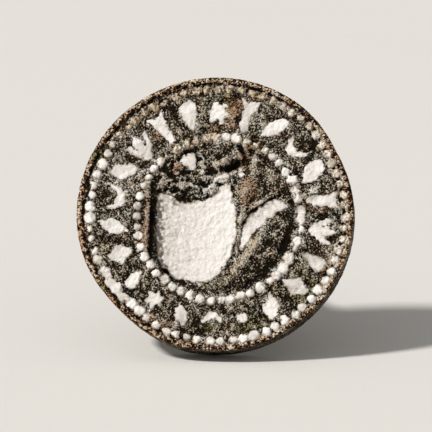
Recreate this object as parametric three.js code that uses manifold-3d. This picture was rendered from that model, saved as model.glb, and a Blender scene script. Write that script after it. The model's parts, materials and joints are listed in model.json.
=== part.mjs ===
// A medieval seal matrix in copper alloy: an engraved round die with white infill in its cuts,
// a six-sided stem brazed to its back, a moulded collar and a pierced loop to hang it by.
//
// Every piece is made in the die's own frame, in millimetres: x to the right and y up on the
// engraved face, z towards the reader, with the face at z = 0 and the handle behind it.
// The seal is then laid on its side, the way it comes to rest on a table: on the back edge of
// the die and the end of the loop, with the face turned to -Y and leaning back.

import * as THREE from "three";
import { mergeVertices } from "three/addons/utils/BufferGeometryUtils.js";
import Module from "manifold-3d";

const wasm = await Module();
wasm.setup();

// The die
const dieRadius = 11;
const dieThickness = 3;
const dieEdge = 0.3; // width of the chamfer round its front and back arris
const dieSides = 120;
const dieFlat = { distance: 10.87, angle: 6 }; // worn flat at the bottom, on which the seal lies
const dieDents = [
  { angle: 228, depth: 0.32, spread: 22 }, // knocked in at the lower left
  { angle: 28, depth: 0.2, spread: 14 }, // and a little at the upper right
];
const rimGroove = { outer: 0.38, inner: 0.58, depth: 0.25 }; // distances in from the edge

// The white infill sits a little below the metal, and joints keep a hairline gap
const infillSink = 0.12;
const hairline = 0.03;
const cutOvershoot = 1; // how far a cutter stands above the face

// The two bead rings
const beadDepth = 0.45;
const beadLink = 0.07; // half the width of the scribed line that joins the beads
const outerBeads = { count: 71, halfWidth: 0.3, halfHeight: 0.3, inFromEdge: 0.95 };
const outerBeadsCentre = new THREE.Vector2(0.17, -0.07); // both rings were struck off centre
const innerBeads = { count: 50, halfWidth: 0.28, halfHeight: 0.34, radius: 6.46 };
const innerBeadsCentre = new THREE.Vector2(0.3, -0.37);

// The border between the rings
const markDepth = 0.5;
const markClearance = 0.12; // metal left between a mark and the beads
const markLength = 2.75;

// The figure inside the inner ring
const figureDepth = 0.9;
const figureWingDepth = 0.6;
const patchDepth = 0.4;
const figurePellets = [
  { x: 1.95, y: 3.1, width: 0.36 },
  { x: 3.05, y: 4.35, width: 0.34 },
];
const dish = { radius: 11, depth: 0.5, aside: -1.2, sides: 48 }; // the body's infill sinks to the left
const trench = { radius: 5.7, width: 0.46, tip: 0.06, from: -72, to: -6, depth: 0.35, steps: 14 };
const hollow = { x: 1.5, y: 3.8, halfWidth: 0.55, halfHeight: 0.3, tilt: 0.35, depth: 0.5, steps: 14 };

// The stem, from its foot on the die to its shoulder under the collar
const stemSides = 6;
const stemFootRadius = 5.3;
const stemNeckRadius = 2.35;
const stemFlare = 3.1; // length in which the flare of the foot dies away
const stemLength = 13;
const stemSteps = 10;
const stemStepGrowth = 1.5; // the steps lie closer together near the foot
const footTang = { radius: 1.5, length: 1 };
const topTang = { radius: 1.1, length: 3.2 };
const tangSides = 24;

// The collar
const collarLength = 2.4;
const collarRadius = 3.3;
const collarFilletRadius = 2.65;
const collarFilletLength = 0.6;
const collarFilletRound = { in: 0.12, along: 0.15 };
const collarBulgeSteps = 6;
const collarSides = 30;

// The loop
const loopShank = { radius: 2, length: 2.2 };
const loopRadius = 3.6;
const loopHoleRadius = 1.65;
const loopHalfThickness = 1.2;
const loopEdge = 0.3;
const loopEdgeSteps = 2;
const loopSides = 40;
const loopFlatAngle = 9; // the worn end of the loop, from its middle to each side
const loopReach = 2.3; // from the shank's end to the middle of the hole
const loopBridge = 0.4; // metal left between the hole and the end of the shank

const toRadians = THREE.MathUtils.degToRad;

const dieMetal = new THREE.MeshStandardMaterial({ color: 0x5b5144, roughness: 0.7, metalness: 0.6 });
const handleMetal = new THREE.MeshStandardMaterial({ color: 0x6b5b45, roughness: 0.5, metalness: 0.7 });
const whiteInfill = new THREE.MeshStandardMaterial({ color: 0xf0e8de, roughness: 0.95, metalness: 0 });

// Joining and cutting

function solidOf(geometry) {
  const bare = geometry.clone();
  bare.deleteAttribute("normal");
  bare.deleteAttribute("uv");
  const merged = mergeVertices(bare, 1e-4);
  const mesh = new wasm.Mesh({
    numProp: 3,
    vertProperties: merged.attributes.position.array,
    triVerts: Uint32Array.from(merged.index.array),
  });
  return new wasm.Manifold(mesh);
}

function geometryOf(solid) {
  const mesh = solid.getMesh();
  const geometry = new THREE.BufferGeometry();
  geometry.setAttribute("position", new THREE.BufferAttribute(mesh.vertProperties, 3));
  geometry.setIndex(new THREE.BufferAttribute(mesh.triVerts, 1));
  geometry.computeVertexNormals();
  return geometry;
}

// A flat outline, with any holes, carried from one height to another
function slab(outline, low, high, holes = []) {
  const shape = new THREE.Shape(outline);
  shape.holes = holes.map((hole) => new THREE.Path(hole));
  const geometry = new THREE.ExtrudeGeometry(shape, { depth: high - low, bevelEnabled: false });
  return geometry.translate(0, 0, low);
}

// A round piece whose axis is z, from points of (radius, z)
function turned(profile, sides) {
  const points = profile.map(([radius, z]) => new THREE.Vector2(radius, z));
  return new THREE.LatheGeometry(points, sides).rotateX(Math.PI / 2);
}

function rod(radius, low, high) {
  return turned([[0, low], [radius, low], [radius, high], [0, high]], tangSides);
}

// Outlines

function polar(radius, degrees) {
  const angle = toRadians(degrees);
  return new THREE.Vector2(radius * Math.cos(angle), radius * Math.sin(angle));
}

// Angles round a circle in even steps, but none within a flat side at the bottom
function anglesRound(sides, flatAngle) {
  const all = Array.from({ length: sides }, (_, i) => (360 * (i + 0.5)) / sides);
  return all.filter((turn) => Math.min(turn, 360 - turn) > flatAngle).map((turn) => turn - 90);
}

// Distance from the centre to the edge of the die: round with two shallow dents and one flat
function edgeRadius(degrees) {
  const dented = (radius, dent) => {
    const away = THREE.MathUtils.euclideanModulo(degrees - dent.angle + 180, 360) - 180;
    return radius - dent.depth * Math.exp(-((away / dent.spread) ** 2));
  };
  const radius = dieDents.reduce(dented, dieRadius);
  const downwards = Math.cos(toRadians(degrees + 90));
  return downwards > 0 ? Math.min(radius, dieFlat.distance / downwards) : radius;
}

// The edge moved in by a distance
function edgeOutline(inset) {
  const angles = anglesRound(dieSides, dieFlat.angle);
  return angles.map((degrees) => polar(edgeRadius(degrees) - inset, degrees));
}

// Each side of a closed outline moved outwards; a sharp tip is moved only a little further
function grown(points, distance) {
  const mostStretch = 0.5;
  return points.map((point, i) => {
    const before = point.clone().sub(points.at(i - 1)).normalize();
    const after = points[(i + 1) % points.length].clone().sub(point).normalize();
    const outwards = new THREE.Vector2(before.y + after.y, -before.x - after.x);
    const stretch = Math.max(1 + before.dot(after), mostStretch);
    return point.clone().addScaledVector(outwards, distance / stretch);
  });
}

// The points of a shape, counter-clockwise and without the repeated last point
function outlineOf(shape, steps) {
  const points = shape.getPoints(steps);
  const closed = points.filter((point, i) => point.distanceTo(points.at(i - 1)) > 1e-3);
  return THREE.ShapeUtils.isClockWise(closed) ? closed.reverse() : closed;
}

// One side of a ring of six-sided beads on a thin scribed line: side is 1 outside, -1 inside
function beadContour(ring, side, radiusAt, centre, grow) {
  const acrossAndUp = [
    [-ring.halfWidth - grow, beadLink + grow],
    [-ring.halfWidth / 2 - grow, ring.halfHeight + grow],
    [ring.halfWidth / 2 + grow, ring.halfHeight + grow],
    [ring.halfWidth + grow, beadLink + grow],
  ];
  return Array.from({ length: ring.count }, (_, i) => {
    const degrees = (360 * i) / ring.count;
    const middle = radiusAt(degrees);
    return acrossAndUp.map(([across, up]) => {
      const turn = THREE.MathUtils.radToDeg(across / middle);
      return polar(middle + side * up, degrees + turn).add(centre);
    });
  }).flat();
}

function beadRingSlab(ring, radiusAt, centre, low, high, grow) {
  const outside = beadContour(ring, 1, radiusAt, centre, grow);
  const inside = beadContour(ring, -1, radiusAt, centre, grow);
  return slab(outside, low, high, [inside]);
}

// The marks of the border, each upright on the origin with its outer end at the top

function petal(width, length) {
  const shape = new THREE.Shape();
  const roundEnd = length / 2 - width / 2;
  shape.moveTo(0, -length / 2);
  shape.quadraticCurveTo(width * 0.45, -length * 0.15, width / 2, roundEnd);
  shape.absarc(0, roundEnd, width / 2, 0, Math.PI);
  shape.quadraticCurveTo(-width * 0.45, -length * 0.15, 0, -length / 2);
  return shape;
}

function dart(width, length) {
  const shape = new THREE.Shape();
  const foot = width * 0.2;
  const bay = length * 0.06;
  shape.moveTo(-foot, -length / 2);
  shape.lineTo(foot, -length / 2);
  shape.quadraticCurveTo(foot * 1.4, length * 0.15, width / 2, length / 2);
  shape.quadraticCurveTo(0, length / 2 - 2 * bay, -width / 2, length / 2);
  shape.quadraticCurveTo(-foot * 1.4, length * 0.15, -foot, -length / 2);
  return shape;
}

function leaf(width, length) {
  const shape = new THREE.Shape();
  shape.moveTo(0, -length / 2);
  shape.quadraticCurveTo(width, length * 0.1, 0, length / 2);
  shape.quadraticCurveTo(-width, length * 0.1, 0, -length / 2);
  return shape;
}

function lozenge(width, length) {
  const shape = new THREE.Shape();
  const waist = width * 0.26;
  shape.moveTo(0, -length / 2);
  shape.quadraticCurveTo(waist, -length * 0.2, width / 2, 0);
  shape.quadraticCurveTo(waist, length * 0.2, 0, length / 2);
  shape.quadraticCurveTo(-waist, length * 0.2, -width / 2, 0);
  shape.quadraticCurveTo(-waist, -length * 0.2, 0, -length / 2);
  return shape;
}

// Three leaves that spread from one foot
function palmette(width, length) {
  const shape = new THREE.Shape();
  const sideTip = length * 0.3;
  const cleft = width * 0.17;
  shape.moveTo(0, -length / 2);
  shape.quadraticCurveTo(width * 0.5, -length * 0.2, width / 2, sideTip);
  shape.quadraticCurveTo(width * 0.26, sideTip * 0.9, cleft, 0);
  shape.quadraticCurveTo(width * 0.24, length * 0.2, 0, length / 2);
  shape.quadraticCurveTo(-width * 0.24, length * 0.2, -cleft, 0);
  shape.quadraticCurveTo(-width * 0.26, sideTip * 0.9, -width / 2, sideTip);
  shape.quadraticCurveTo(-width * 0.5, -length * 0.2, 0, -length / 2);
  return shape;
}

// A moon with its horns outwards
function crescent(width, length) {
  const shape = new THREE.Shape();
  const horn = length * 0.38;
  const bay = -length * 0.03;
  const reach = width * 0.75;
  const belly = -length * 0.58;
  shape.moveTo(width / 2, horn);
  shape.quadraticCurveTo(width * 0.36, bay, 0, bay);
  shape.quadraticCurveTo(-width * 0.36, bay, -width / 2, horn);
  shape.bezierCurveTo(-reach, belly, reach, belly, width / 2, horn);
  return shape;
}

// Six round petals: the radius swells six times in a turn
function rosette(width) {
  const petals = 6;
  const steps = 5 * petals;
  const points = Array.from({ length: steps }, (_, i) => {
    const swell = 0.8 + 0.2 * Math.cos((2 * Math.PI * petals * i) / steps);
    return polar((width / 2) * swell, (360 * i) / steps);
  });
  return new THREE.Shape(points);
}

function pellet(width) {
  const shape = new THREE.Shape();
  shape.absarc(0, 0, width / 2, 0, 2 * Math.PI);
  return shape;
}

const markKinds = {
  petal: { draw: petal, width: 1.35, steps: 3 },
  dart: { draw: dart, width: 1.5, steps: 3 },
  leaf: { draw: leaf, width: 1.35, steps: 5 },
  lozenge: { draw: lozenge, width: 1.8, steps: 2 },
  palmette: { draw: palmette, width: 2.2, steps: 3 },
  crescent: { draw: crescent, width: 2.05, steps: 5 },
  rosette: { draw: rosette, width: 2.3, steps: 1 },
  pellet: { draw: pellet, width: 0.95, steps: 4 },
};

// Clockwise from the top: what is cut there, how large, and how far it leans, in degrees
const borderMarks = [
  ["rosette", 0.85, 8],
  ["dart", 1, -3],
  ["leaf", 0.95, 30],
  ["crescent", 1, 4],
  ["leaf", 1, -28],
  ["dart", 1.02, 4],
  ["palmette", 1, -3],
  ["petal", 0.9, 6],
  ["lozenge", 1, -14],
  ["leaf", 0.9, 26],
  ["pellet", 0.9, 0],
  ["crescent", 0.92, -5],
  ["leaf", 0.85, -30],
  ["rosette", 0.72, 20],
  ["petal", 0.82, -10],
  ["lozenge", 0.95, 6],
  ["leaf", 0.92, 27],
  ["crescent", 0.95, 3],
  ["leaf", 0.95, -29],
  ["palmette", 0.98, 5],
  ["dart", 0.98, -4],
  ["petal", 1, 3],
];

// The room for a mark at an angle, between the two bead rings
function bandAt(degrees) {
  const outwards = polar(1, degrees);
  const innerRing = innerBeads.radius + outwards.dot(innerBeadsCentre);
  const outerRing = edgeRadius(degrees) - outerBeads.inFromEdge + outwards.dot(outerBeadsCentre);
  const low = innerRing + innerBeads.halfHeight + markClearance;
  const high = outerRing - outerBeads.halfHeight - markClearance;
  return { middle: (low + high) / 2, height: high - low };
}

function markOutline([kind, size, lean], degrees) {
  const { draw, width, steps } = markKinds[kind];
  const band = bandAt(degrees);
  const length = Math.min(markLength, band.height) * size;
  const upright = outlineOf(draw(width * size, length), steps);
  const origin = new THREE.Vector2();
  return upright.map((point) => {
    const leaning = point.clone().rotateAround(origin, toRadians(degrees - 90 - lean));
    return leaning.add(polar(band.middle, degrees));
  });
}

// The worn figure: a broad body that rises to a peak, a wing beside it and a few small cuts

function smoothOutline(corners, steps) {
  const points = corners.map(([x, y]) => new THREE.Vector3(x, y, 0));
  const curve = new THREE.CatmullRomCurve3(points, true, "centripetal");
  const flat = curve.getPoints(steps).map((point) => new THREE.Vector2(point.x, point.y));
  return outlineOf(new THREE.Shape(flat), 1);
}

const bodyOutline = smoothOutline(
  [
    [-4.6, 1.65],
    [-3.6, 1.5],
    [-2.9, 0.95],
    [-1.8, 0.9],
    [-0.45, 1.2],
    [0.85, 2.45],
    [1.35, 1.1],
    [1.78, -0.75],
    [1.35, -3.35],
    [0, -5.2],
    [-1.4, -5.45],
    [-3.4, -5],
    [-4.15, -4.4],
    [-4.65, -2.15],
    [-4.75, 0.2],
  ],
  40,
);

const wingOutline = smoothOutline(
  [
    [2.14, -2.86],
    [2.14, -1.65],
    [2.46, -0.44],
    [3.2, 0.36],
    [4.1, 1],
    [5.1, 1.25],
    [5.75, 0.65],
    [5, 0.28],
    [3.37, -1.2],
    [2.7, -2.1],
  ],
  28,
);

const headOutline = smoothOutline([[-2.85, 4.1], [-1.65, 4.9], [-1.35, 4.2], [-1.8, 3.55]], 12);
const neckOutline = smoothOutline([[-0.2, 2.6], [0.35, 3.15], [1.2, 3.15], [1.15, 2.85], [0.4, 2.75]], 14);

function roundAt({ x, y, width }) {
  const middle = new THREE.Vector2(x, y);
  return outlineOf(pellet(width), 4).map((point) => point.add(middle));
}

// Part of a ring about the middle of the inner beads, narrowed to a tip at both ends
function trenchOutline() {
  const along = Array.from({ length: trench.steps + 1 }, (_, i) => i / trench.steps);
  const edge = (share, side) => {
    const width = trench.tip + (trench.width - trench.tip) * Math.sin(Math.PI * share);
    const degrees = THREE.MathUtils.lerp(trench.from, trench.to, share);
    return polar(trench.radius + (side * width) / 2, degrees).add(innerBeadsCentre);
  };
  const inner = along.map((share) => edge(share, -1)).reverse();
  return [...along.map((share) => edge(share, 1)), ...inner];
}

function hollowOutline() {
  const middle = new THREE.Vector2(hollow.x, hollow.y);
  return Array.from({ length: hollow.steps }, (_, i) => {
    const turn = (2 * Math.PI * i) / hollow.steps;
    const point = new THREE.Vector2(hollow.halfWidth * Math.cos(turn), hollow.halfHeight * Math.sin(turn));
    return point.add(middle).rotateAround(middle, hollow.tilt);
  });
}

// Every filled cut: its name, outline and depth, and whether its infill has a dish
const filledCuts = [
  { name: "infill_figure_body", outline: bodyOutline, depth: figureDepth, dished: true },
  { name: "infill_figure_wing", outline: wingOutline, depth: figureWingDepth },
  { name: "infill_figure_head", outline: headOutline, depth: patchDepth },
  { name: "infill_figure_neck", outline: neckOutline, depth: patchDepth },
  ...figurePellets.map((spot, i) => ({
    name: `infill_figure_pellet_${i + 1}`,
    outline: roundAt(spot),
    depth: patchDepth,
  })),
  ...borderMarks.map((mark, i) => ({
    name: `infill_border_${String(i + 1).padStart(2, "0")}_${mark[0]}`,
    outline: markOutline(mark, 90 - (360 * i) / borderMarks.length),
    depth: markDepth,
  })),
];

const beadRings = [
  {
    name: "infill_outer_beads",
    ring: outerBeads,
    radiusAt: (degrees) => edgeRadius(degrees) - outerBeads.inFromEdge,
    centre: outerBeadsCentre,
  },
  {
    name: "infill_inner_beads",
    ring: innerBeads,
    radiusAt: () => innerBeads.radius,
    centre: innerBeadsCentre,
  },
];

// The pieces

function makeDie() {
  const blank = new THREE.ExtrudeGeometry(new THREE.Shape(edgeOutline(0)), {
    depth: dieThickness - 2 * dieEdge,
    bevelThickness: dieEdge,
    bevelSize: dieEdge,
    bevelOffset: -dieEdge,
    bevelSegments: 1,
  }).translate(0, 0, dieEdge - dieThickness);
  const cutters = [
    slab(edgeOutline(rimGroove.outer), -rimGroove.depth, cutOvershoot, [edgeOutline(rimGroove.inner)]),
    slab(trenchOutline(), -trench.depth, cutOvershoot),
    slab(hollowOutline(), -hollow.depth, cutOvershoot),
    rod(footTang.radius + hairline, -dieThickness - cutOvershoot, footTang.length + hairline - dieThickness),
    ...filledCuts.map((cut) => slab(cut.outline, -cut.depth, cutOvershoot)),
    ...beadRings.map(({ ring, radiusAt, centre }) =>
      beadRingSlab(ring, radiusAt, centre, -beadDepth, cutOvershoot, 0),
    ),
  ];
  const cut = cutters.reduce((die, cutter) => die.subtract(solidOf(cutter)), solidOf(blank));
  return geometryOf(cut);
}

// The infill of one cut; a dished one is hollowed by a large sphere, left of its middle
function makeInfill(cut) {
  const body = slab(grown(cut.outline, -hairline), hairline - cut.depth, -infillSink);
  if (!cut.dished) return body;
  const box = new THREE.Box2().setFromPoints(cut.outline);
  const middle = box.getCenter(new THREE.Vector2());
  const sphere = new THREE.SphereGeometry(dish.radius, dish.sides, dish.sides).rotateX(Math.PI / 2);
  sphere.translate(middle.x + dish.aside, middle.y, dish.radius - infillSink - dish.depth);
  return geometryOf(solidOf(body).subtract(solidOf(sphere)));
}

function makeBeadInfill({ ring, radiusAt, centre }) {
  return beadRingSlab(ring, radiusAt, centre, hairline - beadDepth, -infillSink, -hairline);
}

const stemFootZ = -dieThickness - hairline;
const stemTopZ = stemFootZ - stemLength;
const collarFarZ = stemTopZ - hairline - collarLength;
const loopNearZ = collarFarZ - hairline;
const loopCentreZ = loopNearZ - loopShank.length - loopReach;

// Six-sided, with a flared foot; a round tang at each end goes into its neighbour
function makeStem() {
  const profile = Array.from({ length: stemSteps + 1 }, (_, i) => {
    const along = stemLength * (i / stemSteps) ** stemStepGrowth;
    const flare = (stemFootRadius - stemNeckRadius) * Math.exp(-along / stemFlare);
    return [stemNeckRadius + flare, stemFootZ - along];
  });
  const shaft = turned([[0, stemFootZ], ...profile, [0, stemTopZ]].reverse(), stemSides);
  const foot = rod(footTang.radius, stemFootZ - cutOvershoot, stemFootZ + footTang.length);
  const top = rod(topTang.radius, stemTopZ - topTang.length, stemTopZ + cutOvershoot);
  return geometryOf(solidOf(shaft).add(solidOf(foot)).add(solidOf(top)));
}

// A ring threaded over the top tang: a round moulding between two fillets
function makeCollar() {
  const near = stemTopZ - hairline;
  const bore = topTang.radius + hairline;
  const bulge = collarLength / 2 - collarFilletLength;
  const waist = collarFilletRadius - collarFilletRound.in;
  const moulding = Array.from({ length: collarBulgeSteps + 1 }, (_, i) => {
    const turn = (Math.PI * i) / collarBulgeSteps;
    const swell = (collarRadius - waist) * Math.sin(turn);
    return [waist + swell, near - collarLength / 2 + bulge * Math.cos(turn)];
  });
  const profile = [
    [bore, near],
    [waist, near],
    [collarFilletRadius, near - collarFilletRound.along],
    [collarFilletRadius, near - collarFilletLength + collarFilletRound.along],
    ...moulding,
    [collarFilletRadius, collarFarZ + collarFilletLength - collarFilletRound.along],
    [collarFilletRadius, collarFarZ + collarFilletRound.along],
    [waist, collarFarZ],
    [bore, collarFarZ],
    [bore, near],
  ];
  return turned(profile.reverse(), collarSides);
}

function circle(radius, sides, flatAngle) {
  return anglesRound(sides, flatAngle).map((degrees) => polar(radius, degrees));
}

const loopOutline = circle(loopRadius, loopSides, loopFlatAngle);

// A flat pierced ring on a round shank, which is bored for the stem's top tang
function makeLoop() {
  const plate = new THREE.ExtrudeGeometry(new THREE.Shape(loopOutline), {
    depth: 2 * (loopHalfThickness - loopEdge),
    bevelThickness: loopEdge,
    bevelSize: loopEdge,
    bevelOffset: -loopEdge,
    bevelSegments: loopEdgeSteps,
  });
  const onPlate = (geometry) => geometry.rotateX(Math.PI / 2).translate(0, 0, loopCentreZ);
  plate.translate(0, 0, loopEdge - loopHalfThickness);
  const holeOutline = circle(loopHoleRadius, loopSides, 0);
  const hole = slab(holeOutline, -2 * loopHalfThickness, 2 * loopHalfThickness);
  const shank = rod(loopShank.radius, loopCentreZ + loopHoleRadius + loopBridge, loopNearZ);
  const socketEnd = stemTopZ - topTang.length - hairline;
  const socket = rod(topTang.radius + hairline, socketEnd, loopNearZ + cutOvershoot);
  const joined = solidOf(onPlate(plate)).add(solidOf(shank));
  return geometryOf(joined.subtract(solidOf(onPlate(hole))).subtract(solidOf(socket)));
}

function piece(name, geometry, material) {
  const mesh = new THREE.Mesh(geometry, material);
  mesh.name = name;
  return mesh;
}

const seal = new THREE.Group();
const handle = new THREE.Group();
const infill = new THREE.Group();
handle.add(
  piece("handle_stem", makeStem(), handleMetal),
  piece("stem_collar", makeCollar(), handleMetal),
  piece("suspension_loop", makeLoop(), handleMetal),
);
filledCuts.forEach((cut) => infill.add(piece(cut.name, makeInfill(cut), whiteInfill)));
beadRings.forEach((ring) => infill.add(piece(ring.name, makeBeadInfill(ring), whiteInfill)));
seal.add(piece("die", makeDie(), dieMetal), handle, infill);

// Laid down: the table runs from the die's flat, at its back edge, to the flat at the loop's end
const furthestDown = (outline) => -Math.min(...outline.map((point) => point.y));
const loopRest = furthestDown(loopOutline) - loopEdge;
const restDrop = furthestDown(edgeOutline(0)) - loopHalfThickness;
const restRun = loopRest - loopCentreZ - (dieThickness - dieEdge);
seal.rotation.x = Math.PI / 2 - Math.atan2(restDrop, restRun);

const box = new THREE.Box3().setFromObject(seal, true);
const middle = box.getCenter(new THREE.Vector3());
seal.position.set(-middle.x, -middle.y, -box.min.z);

export default seal;
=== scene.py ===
import json
import math

import bpy
import numpy as np
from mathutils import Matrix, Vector


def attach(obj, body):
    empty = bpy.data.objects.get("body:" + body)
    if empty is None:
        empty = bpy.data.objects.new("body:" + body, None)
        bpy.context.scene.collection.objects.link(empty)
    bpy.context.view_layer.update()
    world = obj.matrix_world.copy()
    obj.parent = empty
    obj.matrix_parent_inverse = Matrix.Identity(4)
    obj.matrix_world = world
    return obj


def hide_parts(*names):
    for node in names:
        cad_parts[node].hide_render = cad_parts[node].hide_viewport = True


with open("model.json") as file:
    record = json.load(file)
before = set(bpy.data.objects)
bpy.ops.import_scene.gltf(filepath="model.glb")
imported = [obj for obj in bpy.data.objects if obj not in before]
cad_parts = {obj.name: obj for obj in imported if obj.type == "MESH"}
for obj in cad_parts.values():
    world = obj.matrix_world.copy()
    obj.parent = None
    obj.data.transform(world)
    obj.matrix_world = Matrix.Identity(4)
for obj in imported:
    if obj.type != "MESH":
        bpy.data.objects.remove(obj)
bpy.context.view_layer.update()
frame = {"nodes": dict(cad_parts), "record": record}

# The seal's own frame, in millimetres: x to the right and y up on the engraved face, z out of it.
# The face is at z = 0. The record's face mount says where that is in the row.
faceMount = next(m for m in frame["record"]["mounts"] if m["name"] == "die_face")
faceMountAt = np.array([4.6, -3.0])  # the mount's own place on the face
outOfFace = np.array(faceMount["axis"]) / np.linalg.norm(faceMount["axis"])
acrossFace = np.array([1.0, 0.0, 0.0])
upFace = np.cross(outOfFace, acrossFace)
faceAxes = np.array([acrossFace, upFace, outOfFace])
faceOrigin = np.array(faceMount["pos_m"]) * 1000 - faceMountAt @ faceAxes[:2]


def toRow(points):
    # face frame in millimetres to row frame in metres
    return (faceOrigin + points @ faceAxes) / 1000


def toFace(points):
    # row frame in metres to face frame in millimetres
    return (points * 1000 - faceOrigin) @ faceAxes.T


def srgb(red, green, blue):
    # a colour written as 0 to 255, as the linear colour that Blender takes
    share = np.array([red, green, blue]) / 255
    linear = np.where(share <= 0.04045, share / 12.92, ((share + 0.055) / 1.055) ** 2.4)
    return (*linear, 1.0)


# Noise in three dimensions

noiseChance = np.random.default_rng(1291)
slopeTable = noiseChance.normal(size=(256, 3))
slopeTable /= np.linalg.norm(slopeTable, axis=1, keepdims=True)
placeTable = noiseChance.random((256, 3))
askew = np.linalg.qr(noiseChance.normal(size=(3, 3)))[0]  # turns the cells away from the face


def cellHash(cell, salt):
    # mixes the three whole numbers of a cell into one that looks random, with large odd factors
    x, y, z = (cell[:, i].astype(np.uint32) for i in range(3))
    mixed = x * np.uint32(374761393) + y * np.uint32(668265263) + z * np.uint32(2246822519)
    mixed = (mixed + np.uint32(salt * 7919)) * np.uint32(2654435761)
    mixed = (mixed ^ (mixed >> np.uint32(13))) * np.uint32(1274126177)
    return mixed ^ (mixed >> np.uint32(16))


def smoothNoise(points, size, salt=0):
    # each corner of a cell has a slope, and their planes are blended across the cell; the result
    # is stretched to about -1 to 1
    scaled = points @ askew / size
    cell = np.floor(scaled).astype(np.int64)
    inside = scaled - cell
    fade = inside**3 * (inside * (inside * 6 - 15) + 10)
    total = np.zeros(len(points))
    for corner in np.ndindex(2, 2, 2):
        slope = slopeTable[cellHash(cell + corner, salt) & 255]
        weight = np.where(corner, fade, 1 - fade).prod(axis=1)
        total += weight * ((inside - corner) * slope).sum(axis=1)
    return total * 1.7


def grainNoise(points, size, salt=0):
    # one random place in each cell: how far the nearest is, in cells, and that one's own number
    scaled = points @ askew / size
    cell = np.floor(scaled).astype(np.int64)
    nearest = np.full(len(points), 9.0)
    owner = np.zeros(len(points))
    for step in np.ndindex(3, 3, 3):
        other = cell + step - 1
        mixed = cellHash(other, salt)
        away = np.linalg.norm(other + placeTable[mixed & 255] - scaled, axis=1)
        closer = away < nearest
        nearest[closer] = away[closer]
        owner[closer] = ((mixed[closer] >> np.uint32(9)) & 255) / 255
    return nearest, owner


def onFace(x, y):
    # points of the face from two arrays
    return np.stack([x, y, np.zeros_like(x)], axis=1)


def roundPoints(radius, angle, height):
    # points from a radius and an angle about z, and a height
    x, y, z = np.broadcast_arrays(radius * np.cos(angle), radius * np.sin(angle), height)
    return np.stack([x.ravel(), y.ravel(), z.ravel()], axis=1)


def fullTurn(count):
    # even angles round a circle
    return 2 * math.pi * np.arange(count) / count


def ramp(value, low, high):
    # 0 below low, 1 above high and an S curve between
    share = np.clip((value - low) / (high - low), 0, 1)
    return share * share * (3 - 2 * share)


def spotShare(x, y, spot):
    # a round-edged oval: 1 in the middle, falling like a bell to its edge
    centreX, centreY, halfLength, halfWidth, turn = spot[:5]
    turned = math.radians(turn)
    along = (x - centreX) * math.cos(turned) + (y - centreY) * math.sin(turned)
    aside = (y - centreY) * math.cos(turned) - (x - centreX) * math.sin(turned)
    return np.exp(-((along / halfLength) ** 2) - (aside / halfWidth) ** 2)


# Meshes

def makePiece(name, points, quads, triangles, material, replaces, values=None, sharp=None):
    # puts whole arrays into a mesh; an edge between two sharp points keeps its crease
    mesh = bpy.data.meshes.new(name)
    rowPoints = toRow(points).astype(np.float32)
    corners = np.concatenate([quads.ravel(), triangles.ravel()]).astype(np.int32)
    faceCount = len(quads) + len(triangles)
    quadStarts = np.arange(len(quads)) * 4
    starts = np.concatenate([quadStarts, quads.size + np.arange(len(triangles)) * 3])
    mesh.vertices.add(len(points))
    mesh.vertices.foreach_set("co", rowPoints.ravel())
    mesh.loops.add(len(corners))
    mesh.loops.foreach_set("vertex_index", corners)
    mesh.polygons.add(faceCount)
    mesh.polygons.foreach_set("loop_start", starts.astype(np.int32))
    mesh.update(calc_edges=True)
    mesh.polygons.foreach_set("use_smooth", np.ones(faceCount, dtype=bool))
    for label, numbers in (values or {}).items():
        layer = mesh.attributes.new(label, "FLOAT", "POINT")
        layer.data.foreach_set("value", numbers.astype(np.float32))
    if sharp is not None:
        ends = np.empty(len(mesh.edges) * 2, dtype=np.int32)
        mesh.edges.foreach_get("vertices", ends)
        crease = sharp[ends.reshape(-1, 2)].all(axis=1)
        mesh.attributes.new("sharp_edge", "BOOLEAN", "EDGE").data.foreach_set("value", crease)
    mesh.materials.append(material)
    piece = bpy.data.objects.new(name, mesh)
    bpy.context.scene.collection.objects.link(piece)
    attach(piece, "root")
    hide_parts(replaces)


noTriangles = np.zeros((0, 3), dtype=np.int64)


def ringQuads(rows, columns, closeRows):
    # faces between neighbouring rows of a grid that wraps round in its columns
    lastRow = rows if closeRows else rows - 1
    row, column = np.meshgrid(np.arange(lastRow), np.arange(columns), indexing="ij")
    nextRow = (row + 1) % rows
    nextColumn = (column + 1) % columns
    corners = [row * columns + column, nextRow * columns + column]
    corners += [nextRow * columns + nextColumn, row * columns + nextColumn]
    return np.stack(corners, axis=-1).reshape(-1, 4)


def fan(ring, centre, flip):
    # triangles from a closed ring of points to one centre point
    after = np.roll(ring, -1)
    pair = (after, ring) if flip else (ring, after)
    return np.stack([*pair, np.full(len(ring), centre)], axis=1)


# The die's outline

dieShape = {
    "radius": 10.975,
    "thickness": 3.0,
    "dents": ((228, 0.32, 22), (28, 0.2, 14)),  # angle, depth and spread in degrees
    "flat": 10.865,  # distance to the worn flat that the seal lies on
    "frontRound": 0.17,
    "frontFall": 1.5,  # how fast the face's relief dies away over the front rounding
    "backRound": 0.34,
}


def edgeRadius(angle):
    # a circle with two bell-shaped dents and one flat at the bottom
    degrees = np.degrees(angle)
    radius = np.full(np.shape(angle), dieShape["radius"])
    for at, depth, spread in dieShape["dents"]:
        away = (degrees - at + 180) % 360 - 180
        radius = radius - depth * np.exp(-((away / spread) ** 2))
    downwards = np.maximum(-np.sin(angle), 0.5)  # the flat is met only in the lowest third
    return np.minimum(radius, dieShape["flat"] / downwards)


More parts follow.
